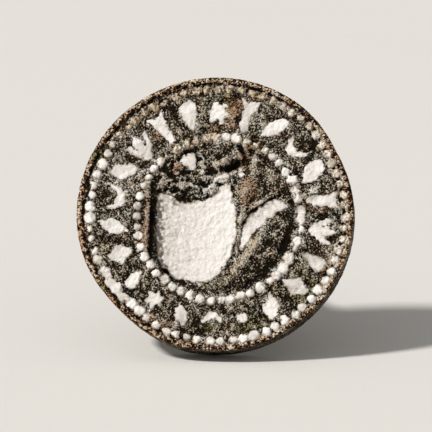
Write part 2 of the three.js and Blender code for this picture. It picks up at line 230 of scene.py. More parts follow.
# The cuts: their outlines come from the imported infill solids

wellShape = {
    "wall": 0.22,  # width of a cut's sloping wall
    "wallTop": 0.07,  # how far outside the outline the wall starts
    "bowl": (-0.2, 0.07),  # the same for a bead's pit: where its wall ends and starts
    "ragged": ((0.7, 0.1), (0.3, 0.13), (0.14, 0.08)),  # size and depth of the edge's wobble
    "crumble": ((0.34, 0.15), (0.15, 0.12)),  # the same, on beads that are nearly worn away
    "swell": 0.03,  # how much wider a worn cut is than its outline
    "rounding": ((0.1, 0.3), (0.05, 0.18)),  # drop and width beside a cut and beside a bead
    "reach": 0.6,  # how far from an outline its cut is looked for
}
farAway = 2.0  # the distance where no cut and no bead is near


def nodeOutline(name):
    # edges that only one triangle of the flat bottom has, as segments, and the bottom's height
    mesh = frame["nodes"][name].data
    points = np.empty(len(mesh.vertices) * 3)
    mesh.vertices.foreach_get("co", points)
    corners = np.empty(len(mesh.loops), dtype=np.int32)
    mesh.loops.foreach_get("vertex_index", corners)
    flat = toFace(points.reshape(-1, 3))
    triangles = corners.reshape(-1, 3)
    bottom = flat[:, 2].min()
    low = (np.abs(flat[:, 2] - bottom) < 1e-3)[triangles].all(axis=1)
    places, number = np.unique(flat[:, :2].round(3), axis=0, return_inverse=True)
    lowCorners = number.ravel()[triangles[low]]
    edges = np.concatenate([lowCorners[:, [0, 1]], lowCorners[:, [1, 2]], lowCorners[:, [2, 0]]])
    edges, count = np.unique(np.sort(edges, axis=1), axis=0, return_counts=True)
    return places[edges[count == 1]], bottom


def outlineDistance(points, segments):
    # least distance to any segment, negative inside, where a ray crosses an odd number of them
    start, end = segments[:, 0], segments[:, 1]
    side = end - start
    away = points[:, None, :] - start
    share = np.clip((away * side).sum(axis=2) / (side**2).sum(axis=1), 0, 1)
    distance = np.linalg.norm(away - share[..., None] * side, axis=2).min(axis=1)
    above = (start[:, 1] > points[:, 1:]) != (end[:, 1] > points[:, 1:])
    rise = np.where(side[:, 1] == 0, 1, side[:, 1])
    crossing = start[:, 0] + side[:, 0] * (points[:, 1:] - start[:, 1]) / rise
    inside = (above & (points[:, :1] < crossing)).sum(axis=1) % 2 == 1
    return np.where(inside, -distance, distance)


cutNames = sorted(n for n in frame["nodes"] if n.startswith("infill") and not n.endswith("beads"))
cutOutlines = {name: nodeOutline(name) for name in cutNames}
print("outlines of", len(cutNames), "cuts read from the frame")


def raggedness(x, y, layers=wellShape["ragged"]):
    # how far an edge wanders from its outline
    places = onFace(x, y)
    return sum(depth * smoothNoise(places, size, 5) for size, depth in layers)


def cutDistance(x, y):
    # distance to the nearest cut's ragged edge, and that cut's depth
    nearest = np.full(len(x), farAway)
    depth = np.zeros(len(x))
    for segments, bottom in cutOutlines.values():
        low = segments.min(axis=(0, 1)) - wellShape["reach"]
        high = segments.max(axis=(0, 1)) + wellShape["reach"]
        picked = np.flatnonzero((x > low[0]) & (x < high[0]) & (y > low[1]) & (y < high[1]))
        if len(picked) == 0:
            continue
        distance = outlineDistance(np.stack([x[picked], y[picked]], axis=1), segments)
        closer = distance < nearest[picked]
        nearest[picked[closer]] = distance[closer]
        depth[picked[closer]] = -bottom
    return nearest + raggedness(x, y) - wellShape["swell"], depth


# The bead rings. Wear is 0 where a bead is crisp and white and 1 where it is nearly gone.
# Each stretch of a ring has its middle angle, its half length in degrees and its strength;
# for fused beads that is half the width of the channel that joins them.

outerBeads = {
    "count": 71,
    "centre": (0.17, -0.07),
    "inFromEdge": 0.95,
    "size": 0.35,
    "spread": 0.05,
    "shift": 0.05,
    "worn": ((104, 46, 0.95), (34, 26, 0.7), (5, 24, 0.75), (248, 12, 0.4)),
    "fused": ((218, 14, 0.33), (284, 5, 0.24), (306, 4, 0.24)),
    "depth": 0.45,
}
innerBeads = {
    "count": 50,
    "centre": (0.3, -0.37),
    "radius": 6.46,
    "size": 0.35,
    "spread": 0.045,
    "shift": 0.04,
    "worn": ((112, 24, 0.85), (65, 8, 0.75), (326, 14, 0.35)),
    "fused": ((26, 12, 0.28), (357, 8, 0.26), (328, 17, 0.26), (281, 8, 0.25)),
    "depth": 0.45,
}
beadWear = {
    "shrink": 0.05,  # how much smaller a bead is when it is nearly gone
    # a channel's width as a share of the one above: mean, and size and strength of its noise
    "channel": (0.85, 0.9, 0.9),
    "leastWidth": 0.1,  # a narrower channel is left out
    "crumble": 0.4,  # how far a channel's edge crumbles, as a share of a worn bead's
    "between": (-0.1, 0.12),  # distances from the nearest bead over which the space between starts
    "filled": (0.24, 0.33, 0.85),  # over these half widths a channel fills up by this share
}
softEnds = (0.75, 1.25)  # a stretch fades between these shares of its half length


def angleShares(degrees, stretches):
    # the strongest of several stretches round a ring, each level with soft ends
    total = np.zeros(np.shape(degrees))
    for at, halfLength, strength in stretches:
        away = np.abs((degrees - at + 180) % 360 - 180) / halfLength
        total = np.maximum(total, strength * (1 - ramp(away, *softEnds)))
    return total


def ringMiddle(ring, angle):
    # distance from a ring's centre to the line through the middles of its beads
    return ring["radius"] if "radius" in ring else edgeRadius(angle) - ring["inFromEdge"]


def beadDistance(x, y, ring):
    # distance to the ragged edge of the nearest bead, or of the channel that joins fused ones;
    # the bead's wear; and 1 for points that lie between beads
    chance = np.random.default_rng(ring["count"])
    shiftAlong, shiftOut, swell = chance.normal(size=(3, ring["count"]))
    centreX, centreY = ring["centre"]
    angle = np.arctan2(y - centreY, x - centreX) % (2 * math.pi)
    reach = np.hypot(x - centreX, y - centreY)
    middle = ringMiddle(ring, angle)
    pitch = 2 * math.pi / ring["count"]
    wear = angleShares(np.degrees(angle), ring["worn"])
    nearest = np.full(len(x), farAway)
    for step in (-1, 0, 1):
        number = (np.round(angle / pitch).astype(int) + step) % ring["count"]
        along = (angle - number * pitch + math.pi) % (2 * math.pi) - math.pi
        aside = along * middle - ring["shift"] * shiftAlong[number]
        out = reach - middle - ring["shift"] * shiftOut[number]
        size = ring["size"] + ring["spread"] * swell[number] - beadWear["shrink"] * wear
        nearest = np.minimum(nearest, np.hypot(aside, out) - size)
    width = angleShares(np.degrees(angle), ring["fused"])
    mean, noiseSize, strength = beadWear["channel"]
    swollen = width * (mean + strength * smoothNoise(onFace(x, y), noiseSize, 15))
    fused = width > beadWear["leastWidth"]
    channel = np.where(fused, np.abs(reach - middle) - swollen, farAway)
    crumbling = np.maximum(wear, beadWear["crumble"] * fused)
    distance = np.minimum(nearest, channel) + raggedness(x, y)
    distance = distance + crumbling * raggedness(x, y, wellShape["crumble"])
    narrow, wide, share = beadWear["filled"]
    between = ramp(nearest, *beadWear["between"]) * (1 - share * ramp(width, narrow, wide))
    return distance, wear, between


# The metal's grain: noise of several sizes, with loose round crumbs on it

grainShape = {
    "layers": ((0.5, 0.045), (0.24, 0.036), (0.13, 0.07), (0.08, 0.045)),  # size and depth
    "contrast": 1.5,  # above 1 the tops and the pits are level
    "crumbs": (0.26, 0.03),  # size and height
    "crumbEdge": (0.5, 0.35),  # a crumb's radius and the width of its rounding, in sizes
    "bare": 0.5,  # share of the places that have no crumb
}


def metalGrain(points):
    # how deep the surface lies below the tops of its grains: a sum of noises, each cut off above
    # and below, and round crumbs at random places
    depth = np.zeros(len(points))
    for number, (size, most) in enumerate(grainShape["layers"]):
        wave = np.clip(grainShape["contrast"] * smoothNoise(points, size, 64 + number), -1, 1)
        depth += most * (0.5 - 0.5 * wave)
    size, rise = grainShape["crumbs"]
    radius, rounding = grainShape["crumbEdge"]
    near, owner = grainNoise(points, size, 3)
    onCrumb = ramp(radius - near, 0, rounding) * (owner > grainShape["bare"])
    return depth + rise * (1 - onCrumb)


# The face as a height field

faceRelief = {
    "level": -0.09,
    # distance in from the edge, half width and rise of the bands that follow the rim
    "bands": ((0.22, 0.2, 0.07), (0.58, 0.13, -0.13)),
    "bandShift": (-32, 75, 0.26),  # where they lie further in: middle angle, half length and most
    # how much of a band is left: size and strength of the noise, its mean and its most
    "bandWear": (0.55, 1.5, 0.65, 1.2),
    "rimKnobs": ((0.5, 0.07), (0.26, 0.06)),  # size and height
    "knobBand": (0.25, 0.35),  # distance in from the edge and half width of the band with knobs
    "sunk": -0.12,  # the field inside the inner beads lies this much lower
    "sunkStep": (0.2, 0.7),  # and goes down over these distances in from them
    "lumps": ((1.7, 0.09), (0.85, 0.09), (0.45, 0.05)),  # size and height of the unevenness
    "lumpsFrom": (0.4, 1.2),  # distances in from the edge over which they begin
    # the groove inside the inner beads; its ends fade over so many degrees
    "trench": {"radius": 5.6, "halfWidth": 0.3, "from": -74, "to": 16, "depth": 0.12, "fade": 20},
    # centre, half length, half width, turn in degrees and height
    "mounds": (
        (2.75, -2.9, 3.5, 0.5, 57, 0.24),  # the long bar at the lower right
        (4.0, -2.6, 2.6, 0.9, 57, 0.12),
        (2.0, -1.2, 2.4, 0.26, 84, 0.2),  # the ridge between body and wing
        (3.3, 0.55, 1.7, 0.4, 42, 0.16),  # and on along the wing's upper edge
        (2.3, 2.0, 1.5, 0.5, 70, 0.16),
        (3.0, 4.4, 1.4, 0.3, 80, 0.16),
        (4.2, 2.5, 1.7, 1.4, 10, 0.16),  # the raised ground above the wing
        (-3.1, 3.55, 0.55, 0.4, 20, 0.24),
        (-1.2, 3.1, 0.35, 0.6, 10, 0.24),
        (0.1, 2.75, 0.6, 0.4, -10, 0.22),
        (-2.5, 2.2, 0.5, 0.35, 0, 0.24),
        (-4.0, 2.5, 0.45, 0.6, 0, 0.2),
        (-0.6, 1.8, 0.6, 0.35, 20, 0.26),
        (0.4, 4.1, 0.6, 0.25, 30, 0.18),
        (-5.35, -1.4, 0.3, 3.2, 0, 0.16),  # the band at the left of the body
        (-4.95, -0.9, 0.2, 2.6, 0, -0.2),  # and the deep edge beside it
        (2.52, -0.38, 0.6, 0.13, 52, -0.32),  # the deep edge along the top of the wing
        (3.68, 0.74, 1.0, 0.14, 33, -0.32),
        (-2.65, 1.2, 0.5, 0.28, 0, -0.3),  # the hollow above the body
        (1.35, 3.85, 0.8, 0.32, 26, -0.6),  # the hollow at the throat
        (1.9, 5.2, 0.9, 0.2, -65, -0.2),  # the slit by the neck
    ),
    # the lumpy upper left: its oval, and size and height of its lumps
    "rough": ((-2.1, 2.9, 2.8, 1.7, 0), (0.62, 0.14), (0.33, 0.11)),
    "highest": -0.004,
}


def bandShift(x, y):
    # how much further in than elsewhere the bands along the rim lie
    return angleShares(np.degrees(np.arctan2(y, x)), (faceRelief["bandShift"],))


def bandShares(x, y):
    # for each band along the rim, a bell across it
    inset = edgeRadius(np.arctan2(y, x)) - np.hypot(x, y) - bandShift(x, y)
    return [np.exp(-(((inset - at) / halfWidth) ** 2)) for at, halfWidth, rise in faceRelief["bands"]]


def macroHeight(x, y):
    # the metal without its grain and its cuts: bands and knobs along the rim, the sunk middle,
    # lumps of noise, the groove inside the inner beads, and ovals for each mound and hollow
    inset = edgeRadius(np.arctan2(y, x)) - np.hypot(x, y)
    places = onFace(x, y)
    height = np.full(len(x), faceRelief["level"])
    size, strength, mean, most = faceRelief["bandWear"]
    kept = np.clip(mean + strength * smoothNoise(places, size, 19), 0.0, most)
    for (at, halfWidth, rise), band in zip(faceRelief["bands"], bandShares(x, y)):
        height += rise * kept * band
    at, halfWidth = faceRelief["knobBand"]
    knobBand = np.exp(-(((inset - at) / halfWidth) ** 2))
    for size, rise in faceRelief["rimKnobs"]:
        height += rise * smoothNoise(places, size, 44) * knobBand
    centreX, centreY = innerBeads["centre"]
    reach = np.hypot(x - centreX, y - centreY)
    height += faceRelief["sunk"] * ramp(innerBeads["radius"] - reach, *faceRelief["sunkStep"])
    for size, rise in faceRelief["lumps"]:
        height += rise * smoothNoise(places, size, 7) * ramp(inset, *faceRelief["lumpsFrom"])
    trench = faceRelief["trench"]
    degrees = (np.degrees(np.arctan2(y - centreY, x - centreX)) + 180) % 360 - 180
    within = ramp(degrees, trench["from"], trench["from"] + trench["fade"])
    within = within * (1 - ramp(degrees, trench["to"] - trench["fade"], trench["to"]))
    across = np.exp(-(((reach - trench["radius"]) / trench["halfWidth"]) ** 2))
    height -= trench["depth"] * within * across
    for mound in faceRelief["mounds"]:
        height += mound[5] * spotShare(x, y, mound)
    spot, *layers = faceRelief["rough"]
    share = np.clip(2 * spotShare(x, y, spot), 0, 1)
    for number, (size, rise) in enumerate(layers):
        height += share * rise * smoothNoise(places, size, 8 + number)
    return height


def roundedDrop(distance, most, width):
    # how much the metal rounds down beside a cut: most at its edge, falling like a bell
    return most * np.exp(-((distance / width) ** 2)) * (distance > 0)


def faceHeight(x, y):
    # the metal's height; the same without its cuts; how far each point lies inside a cut; and
    # the distance to the nearest cut's edge
    ground = macroHeight(x, y)
    grain = metalGrain(onFace(x, y))
    edge, depth = cutDistance(x, y)
    inCut = 1 - ramp(edge, wellShape["wallTop"] - wellShape["wall"], wellShape["wallTop"])
    besideCut, besideBead = wellShape["rounding"]
    height = (ground - roundedDrop(edge, *besideCut)) * (1 - inCut) - depth * inCut
    for ring in (outerBeads, innerBeads):
        distance, wear, between = beadDistance(x, y, ring)
        height -= roundedDrop(distance, *besideBead)
        bowl = 1 - ramp(distance, *wellShape["bowl"])
        height = height * (1 - bowl) + np.minimum(height, -ring["depth"]) * bowl
        inCut = np.maximum(inCut, bowl)
        edge = np.minimum(edge, distance)
    highest = faceRelief["highest"]
    return np.minimum(height - grain, highest), np.minimum(ground - grain, highest), inCut, edge


# A square map of the face, blurred at three sizes: what stands proud of its surroundings is
# rubbed pale, and what lies below them is dark

faceMap = {
    "half": 11.3,
    "step": 0.05,
    "blurs": ((0.1, 9.0, 0.4), (0.28, 3.4, 0.26), (0.8, 1.6, 0.18)),  # size, weight and most
    "level": 0.375,
    "unevenness": ((2.6, 0.14), (1.25, 0.25), (0.5, 0.06)),  # size and strength
}
mapLine = np.arange(-faceMap["half"], faceMap["half"], faceMap["step"])


def blurred(values, size):
    # a bell-shaped blur, made on the map's waves
    down = np.fft.fftfreq(len(mapLine), faceMap["step"])
    across = np.fft.rfftfreq(len(mapLine), faceMap["step"])
    keep = np.exp(-2 * (math.pi * size) ** 2 * (down[:, None] ** 2 + across**2))
    return np.fft.irfft2(np.fft.rfft2(values) * keep, values.shape)


def makeMaps():
    # the bare face's height on a square grid, blurred at each size
    x, y = np.meshgrid(mapLine, mapLine)
    bare = faceHeight(x.ravel(), y.ravel())[1].reshape(x.shape)
    return [blurred(bare, blur[0]) for blur in faceMap["blurs"]]


def readMap(values, x, y):
    # the value between the four nearest places of the map
    column, row = ((place + faceMap["half"]) / faceMap["step"] for place in (x, y))
    left = np.clip(column.astype(int), 0, len(mapLine) - 2)
    low = np.clip(row.astype(int), 0, len(mapLine) - 2)
    column, row = column - left, row - low
    bottom = values[low, left] * (1 - column) + values[low, left + 1] * column
    top = values[low + 1, left] * (1 - column) + values[low + 1, left + 1] * column
    return bottom * (1 - row) + top * row


blurredFace = makeMaps()
print("face worked out")


# Colour patches on the metal, each an oval on the face

patches = {
    "rust": (
        (10.0, 3.0, 1.0, 2.6, 0), (9.6, 5.4, 0.9, 1.2, 30), (2.2, 4.6, 0.7, 1.9, 0),
        (2.5, 1.9, 0.8, 1.6, 15), (1.5, 8.2, 1.3, 1.6, 0), (-5.5, -1.5, 0.4, 3.0, 0),
        (-0.5, 6.5, 1.1, 0.7, 0), (-2.6, 9.7, 1.6, 0.5, 0), (3.6, 9.4, 1.0, 0.6, 0),
        (-7.6, -6.9, 1.3, 0.9, -45), (7.7, 0.7, 1.2, 0.6, 0), (-4.6, 6.4, 0.9, 0.7, 0),
        (-3.0, 3.6, 0.7, 0.5, 0), (-10.4, -2.6, 0.5, 2.0, 0), (5.8, 8.6, 1.0, 0.8, 40),
        (-4.2, -8.9, 1.8, 0.7, -20), (8.9, -4.4, 0.6, 1.3, 0),
    ),
    "moss": (
        (6.9, -5.8, 1.5, 1.2, 0), (3.3, -8.8, 1.6, 0.9, 0), (0.1, 8.9, 1.3, 1.6, 0),
        (-8.6, -6.0, 1.2, 0.7, 40), (9.7, 0.6, 0.7, 0.6, 0), (2.6, 5.9, 0.7, 0.9, 0),
        (-0.4, -9.0, 1.6, 0.5, 0), (-9.4, 4.7, 0.8, 0.6, 0),
    ),
    # tan patina, and a painted highlight along the bar's lit ridge and at the throat
    "tan": (
        (0.0, 9.9, 5.5, 0.5, 0), (-6.2, 8.0, 2.6, 0.5, 48), (2.6, -3.1, 2.5, 0.28, 58),
        (1.9, -6.1, 1.6, 0.5, 35), (8.2, 6.6, 2.2, 0.6, -40),
        (0.2, 4.05, 0.7, 0.2, 25), (2.4, 1.2, 0.4, 1.2, 0), (2.1, 7.0, 0.4, 1.3, 0),
        (-9.0, -3.0, 0.9, 2.0, 20), (-2.0, -9.8, 1.6, 0.5, 15),
    ),
    "chalk": (
        (0.55, 2.7, 1.1, 0.55, 12), (-1.1, 3.2, 0.2, 0.4, 0), (-0.6, 1.8, 1.1, 0.5, 20),
        (-0.5, 1.9, 0.8, 0.4, 20), (1.85, 3.5, 0.4, 0.3, 0),
        (-2.2, 3.2, 0.5, 0.12, -50), (-0.9, 2.5, 0.45, 0.1, 60), (-3.0, 2.6, 0.35, 0.1, 20),
        (-1.6, 2.1, 0.5, 0.12, -20), (-0.3, 2.1, 0.6, 0.14, 35), (-3.6, 2.2, 0.4, 0.1, 70),
        (7.6, 2.0, 0.5, 0.8, 0), (6.1, 2.4, 0.3, 1.1, 10), (-5.4, 7.3, 0.6, 0.25, 40),
        (-0.9, 1.5, 1.2, 0.25, 12), (0.9, 2.2, 0.5, 0.4, 0),
    ),
}
# size, strength and salt of the noise that breaks them up, and how sharp they end
patchNoise = ((0.9, 0.5, 11), (0.35, 0.45, 12), (0.16, 0.35, 16))
patchEdge = (0.2, 0.95)
# ovals that are darker or paler than the rest, with the change of tone last: painted shade where the
# relief turns from the light or lies in shadow, painted highlight on lit ridges, and some darker and paler
# zones of the patina's own
patinaAndShadeSpots = (
    (4.3, -3.1, 2.8, 0.85, 57, -0.2), (2.55, -3.1, 2.5, 0.28, 58, 0.24), (1.6, -6.1, 1.6, 0.4, 30, 0.06),
    (4.4, 2.2, 1.7, 1.3, 10, -0.08), (-2.4, 2.3, 2.2, 1.2, 0, -0.13), (2.2, 1.4, 0.8, 1.3, 0, 0.08),
    (0.5, 7.4, 6.5, 2.0, 0, 0.06), (0.9, 4.3, 2.6, 1.3, 0, 0.1), (2.7, 2.4, 0.7, 2.2, 10, 0.13),
    (-7.8, -6.8, 2.2, 2.4, -40, -0.1), (-2.0, -7.9, 1.0, 0.8, 0, -0.26), (5.9, -7.9, 1.0, 0.8, 0, -0.12),
    (4.4, -9.5, 1.6, 0.8, 0, -0.14), (-8.8, -3.0, 2.0, 1.4, 0, -0.07), (-9.6, -6.2, 1.0, 1.5, -40, -0.1),
    (9.6, 4.4, 0.9, 1.5, 10, -0.1), (8.0, 5.6, 1.0, 0.8, 0, -0.1), (6.5, 1.5, 1.6, 1.2, 0, -0.08),
    (-3.8, -6.2, 1.3, 0.9, -20, -0.1), (0.0, 9.9, 5.0, 0.7, 0, -0.06), (0.5, 8.3, 2.0, 0.8, 0, 0.06),
    (-7.0, 4.8, 2.2, 0.8, 40, 0.05), (-4.98, -0.9, 0.2, 2.6, 0, -0.2), (2.52, -0.38, 0.6, 0.17, 52, -0.3),
    (-2.7, 1.15, 0.5, 0.35, 0, -0.3), (3.68, 0.74, 1.0, 0.17, 33, -0.3),
)
# how bright the ridge round the rim is: middle angle, half length and strength; brightest where its flanks
# face the light from the upper left, a painted highlight over its rubbing
rimLitAndRubbed = ((155, 60, 1.0), (312, 45, 0.9), (90, 30, 0.6), (5, 25, 0.6))
leastLitAndRubbed = 0.12


def faceTone(x, y, height):
    # 0.5 where the metal is level with its surroundings, more where it stands proud; with ovals of painted
    # shade and painted highlight, and noise
    tone = np.full(len(x), faceMap["level"])
    for values, (size, weight, most) in zip(blurredFace, faceMap["blurs"]):
        tone += np.clip(weight * (height - readMap(values, x, y)), -most, most)
    for shade in patinaAndShadeSpots:
        tone += shade[5] * spotShare(x, y, shade)
    for size, strength in faceMap["unevenness"]:
        tone += strength * smoothNoise(onFace(x, y), size, 10)
    return tone


def patchValues(x, y, places):
    # each patch's strength: the largest of its ovals, broken up by noise
    broken = sum(strength * smoothNoise(places, size, salt) for size, strength, salt in patchNoise)
    values = {}
    for kind, spots in patches.items():
        share = np.zeros(len(x))
        for spot in spots:
            share = np.maximum(share, spotShare(x, y, spot))
        values[kind] = ramp(share + broken * np.minimum(2 * share, 1), *patchEdge)
    return values


def rimLightAndRubbing(x, y):
    # how bright the rim is at an angle: a painted highlight that follows the light, over some rubbing
    # everywhere
    share = angleShares(np.degrees(np.arctan2(y, x)), rimLitAndRubbed)
    return leastLitAndRubbed + (1 - leastLitAndRubbed) * share


def rimValues(x, y, values):
    # where the rim's own colours lie, how bright its ridge is, rubbed and with painted highlight, and how
    # much darker its groove is
    inset = edgeRadius(np.arctan2(y, x)) - np.hypot(x, y)
    ridge, groove = bandShares(x, y)
    lifted = dieLook["ridgeLift"] * ridge * rimLightAndRubbing(x, y)
    values["rim"] = 1 - ramp(inset, *dieLook["rimEdge"])
    values["rubbed"] = lifted - dieLook["grooveDrop"] * groove
    return values


# Node helpers

def fillInputs(tree, made, inputs):
    # gives each input its fixed value, or links another node's socket to it
    for key, value in inputs.items():
        if isinstance(value, bpy.types.NodeSocket):
            tree.links.new(value, made.inputs[key])
        else:
            made.inputs[key].default_value = value


def addNode(tree, kind, inputs=None, **settings):
    # makes a node with its settings and inputs
    made = tree.nodes.new(kind)
    for key, value in settings.items():
        setattr(made, key, value)
    fillInputs(tree, made, inputs or {})
    return made


def calculate(tree, operation, first, second):
    # one step of arithmetic
    return addNode(tree, "ShaderNodeMath", {0: first, 1: second}, operation=operation).outputs[0]


def mixColour(tree, share, first, second):
    # the first colour where the share is 0 and the second where it is 1
    inputs = {0: share, 6: first, 7: second}
    return addNode(tree, "ShaderNodeMix", inputs, data_type="RGBA").outputs[2]


def remap(tree, value, low, high, toLow=0.0, toHigh=1.0):
    # a value carried evenly from one range to another
    inputs = {"Value": value, "From Min": low, "From Max": high, "To Min": toLow, "To Max": toHigh}
    return addNode(tree, "ShaderNodeMapRange", inputs).outputs["Result"]


def attribute(tree, name):
    # a value that the mesh keeps for each point
    return addNode(tree, "ShaderNodeAttribute", attribute_name=name).outputs["Fac"]


def startGroup(name, inputs, outputs):
    # a shader node group with named number sockets
    group = bpy.data.node_groups.new(name, "ShaderNodeTree")
    for label, value in inputs.items():
        socket = group.interface.new_socket(label, in_out="INPUT", socket_type="NodeSocketFloat")
        socket.default_value = value
    for label in outputs:
        group.interface.new_socket(label, in_out="OUTPUT", socket_type="NodeSocketFloat")
    return group, group.nodes.new("NodeGroupInput"), group.nodes.new("NodeGroupOutput")


def useGroup(tree, group, **inputs):
    # places a node group with its own values
    made = tree.nodes.new("ShaderNodeGroup")
    made.node_tree = group
    fillInputs(tree, made, inputs)
    return made.outputs


speckleShape = {"size": 0.14, "finer": 2.3, "broader": 0.11}  # size in mm, and two other scales


def makeSpeckleGroup():
    # fine salt and pepper, the sum of two noises less their mean, and a broad noise
    inputs = {"Size": speckleShape["size"], "Amount": 1.0}
    group, source, sink = startGroup("speckle", inputs, ("Value", "Broad"))
    place = addNode(group, "ShaderNodeTexCoord").outputs["Object"]

    def noise(scale, detail, roughness=0.5):
        # one noise over the object's own places
        inputs = {"Vector": place, "Scale": scale, "Detail": detail, "Roughness": roughness}
        return addNode(group, "ShaderNodeTexNoise", inputs).outputs[0]

    scale = calculate(group, "DIVIDE", 1000.0, source.outputs["Size"])
    fine = noise(scale, 2.0, 0.6)
    salt = noise(calculate(group, "MULTIPLY", scale, speckleShape["finer"]), 1.0)
    broad = noise(calculate(group, "MULTIPLY", scale, speckleShape["broader"]), 3.0)
    centred = calculate(group, "SUBTRACT", calculate(group, "ADD", fine, salt), 1.0)
    value = calculate(group, "MULTIPLY", centred, source.outputs["Amount"])
    group.links.new(value, sink.inputs["Value"])
    group.links.new(broad, sink.inputs["Broad"])
    return group


speckle = makeSpeckleGroup()


def startMaterial(name):
    # a new material, its node tree and its shader
    material = bpy.data.materials.new(name)
    material.use_nodes = True
    return material, material.node_tree, material.node_tree.nodes["Principled BSDF"]


def finishMaterial(tree, shader, look, colour, grain):
    # the colour, and bumps that follow the grain
    inputs = {"Height": grain, "Strength": look["bumpStrength"], "Distance": look["bump"]}
    bump = addNode(tree, "ShaderNodeBump", inputs)
    tree.links.new(colour, shader.inputs["Base Color"])
    tree.links.new(bump.outputs["Normal"], shader.inputs["Normal"])


dieLook = {
    # tone and the colour that it has, where the patina is greenish and where it is brown
    "cool": (
        (0.0, srgb(21, 14, 3)), (0.22, srgb(41, 33, 9)), (0.42, srgb(67, 59, 34)),
        (0.6, srgb(109, 100, 77)), (0.78, srgb(172, 165, 144)), (1.0, srgb(244, 239, 226)),
    ),
    "warm": (
        (0.0, srgb(26, 14, 3)), (0.22, srgb(52, 34, 11)), (0.42, srgb(80, 60, 35)),
        (0.6, srgb(121, 97, 71)), (0.78, srgb(180, 159, 132)), (1.0, srgb(246, 234, 215)),
    ),
    "rim": (
        (0.0, srgb(20, 9, 2)), (0.28, srgb(66, 38, 17)), (0.48, srgb(130, 84, 46)),
        (0.68, srgb(190, 146, 98)), (0.84, srgb(230, 199, 154)), (1.0, srgb(250, 238, 218)),
    ),
    "rimEdge": (0.45, 0.85),  # distance in from the edge over which the rim's colours end
    "ridgeLift": 0.4,
    "grooveDrop": 0.12,
    "rimSpots": (0.3, 3.4),  # size and strength
    "rimTone": 0.5,  # how much the rim's colour follows the face's tone
    "hueSize": 0.9,
    "hueSwing": 0.09,
    # colour of each kind of patch and how much of it shows
    "patches": {
        "moss": (srgb(116, 110, 56), 0.65),
        "rust": (srgb(156, 106, 64), 0.52),
        "tan": (srgb(196, 174, 142), 0.3),
        "chalk": (srgb(222, 216, 206), 0.85),
    },
    "patchTone": (-0.12, 1.95),  # how dark and how bright a patch's colour gets over the grain
    # the dark colour of the metal inside the cuts: soil, and painted shade in them
    "soilAndShade": (srgb(26, 20, 14), 0.7),
    "metallic": 0.3,
    "grainSize": 0.1,
    "grainAmount": 2.9,
    "grainFade": (0.08, 0.5, 0.45, 1.15),  # grain is weaker where the tone is dark: tones, shares
    "bump": 0.00004,
    "bumpStrength": 1.0,
    "roughness": (0.2, 0.9, 0.75, 0.34),  # two tones, and how rough the metal is there
    "specular": 0.18,
}


def colourSteps(tree, value, steps):
    # a colour ramp from pairs of place and colour
    made = addNode(tree, "ShaderNodeValToRGB", {"Fac": value})
    elements = made.color_ramp.elements
    while len(elements) < len(steps):
        elements.new(0.5)
    for element, (place, colour) in zip(elements, steps):
        element.position = place
        element.color = colour
    return made.outputs["Color"]


def makeDieMetal():
    # dark granular patina: crests pale, pits near black, with rust, moss, tan (in places a painted
    # highlight) and chalk in patches, and soil with painted shade inside the cuts
    look = dieLook
    material, tree, shader = startMaterial("dieMetal")
    grain = useGroup(tree, speckle, Size=look["grainSize"], Amount=look["grainAmount"])
    tone = attribute(tree, "tone")
    seen = calculate(tree, "MULTIPLY", grain["Value"], remap(tree, tone, *look["grainFade"]))
    value = calculate(tree, "ADD", tone, seen)
    hue = useGroup(tree, speckle, Size=look["hueSize"], Amount=1.0)["Value"]
    share = remap(tree, hue, -look["hueSwing"], look["hueSwing"])
    cool, warm = (colourSteps(tree, value, look[kind]) for kind in ("cool", "warm"))
    colour = mixColour(tree, share, cool, warm)
    size, amount = look["rimSpots"]
    spots = useGroup(tree, speckle, Size=size, Amount=amount)["Value"]
    rimValue = calculate(tree, "ADD", calculate(tree, "MULTIPLY", value, look["rimTone"]), spots)
    # the rim's rubbing with its painted highlight, and its darker groove
    rimValue = calculate(tree, "ADD", rimValue, attribute(tree, "rubbed"))
    rimColour = colourSteps(tree, rimValue, look["rim"])
    onRim = attribute(tree, "rim")
    colour = mixColour(tree, onRim, colour, rimColour)
    value = addNode(tree, "ShaderNodeMix", {0: onRim, 2: value, 3: rimValue}).outputs[0]
    tone = remap(tree, value, 0.0, 1.0, *look["patchTone"])
    for kind, (own, most) in look["patches"].items():
        share = calculate(tree, "MULTIPLY", attribute(tree, kind), most)
        toned = addNode(tree, "ShaderNodeVectorMath", {0: own[:3], "Scale": tone}, operation="SCALE")
        colour = mixColour(tree, share, colour, toned.outputs[0])
    # darkens the metal inside the cuts: soil and painted shade
    soilAndShade, most = look["soilAndShade"]
    colour = mixColour(tree, calculate(tree, "MULTIPLY", attribute(tree, "pit"), most), colour, soilAndShade)
    finishMaterial(tree, shader, look, colour, grain["Value"])
    tree.links.new(remap(tree, value, *look["roughness"]), shader.inputs["Roughness"])
    shader.inputs["Metallic"].default_value = look["metallic"]
    shader.inputs["Specular IOR Level"].default_value = look["specular"]
    return material


infillLook = {
    "greyAndShadeSteps": (  # clean where it is shallow, dim where it is deep: painted shade in the recess, with some grey of its own
        (0.0, srgb(248, 244, 240)), (0.5, srgb(205, 198, 190)), (0.75, srgb(150, 144, 137)),
        (1.0, srgb(92, 86, 80)),
    ),
    "stained": srgb(202, 176, 136),
    "grime": srgb(92, 76, 56),
    # how much the grain breaks up each value, and the ranges in which stain and grime come in
    "broken": {"greyAndShade": 0.35, "stain": 1.1, "grime": 1.2},
    "stainRange": (0.25, 0.8),
    "grimeRange": (0.4, 1.0),
    "grainSize": 0.16,
    "roughness": 0.9,
    "bump": 0.000025,
    "bumpStrength": 0.6,
}


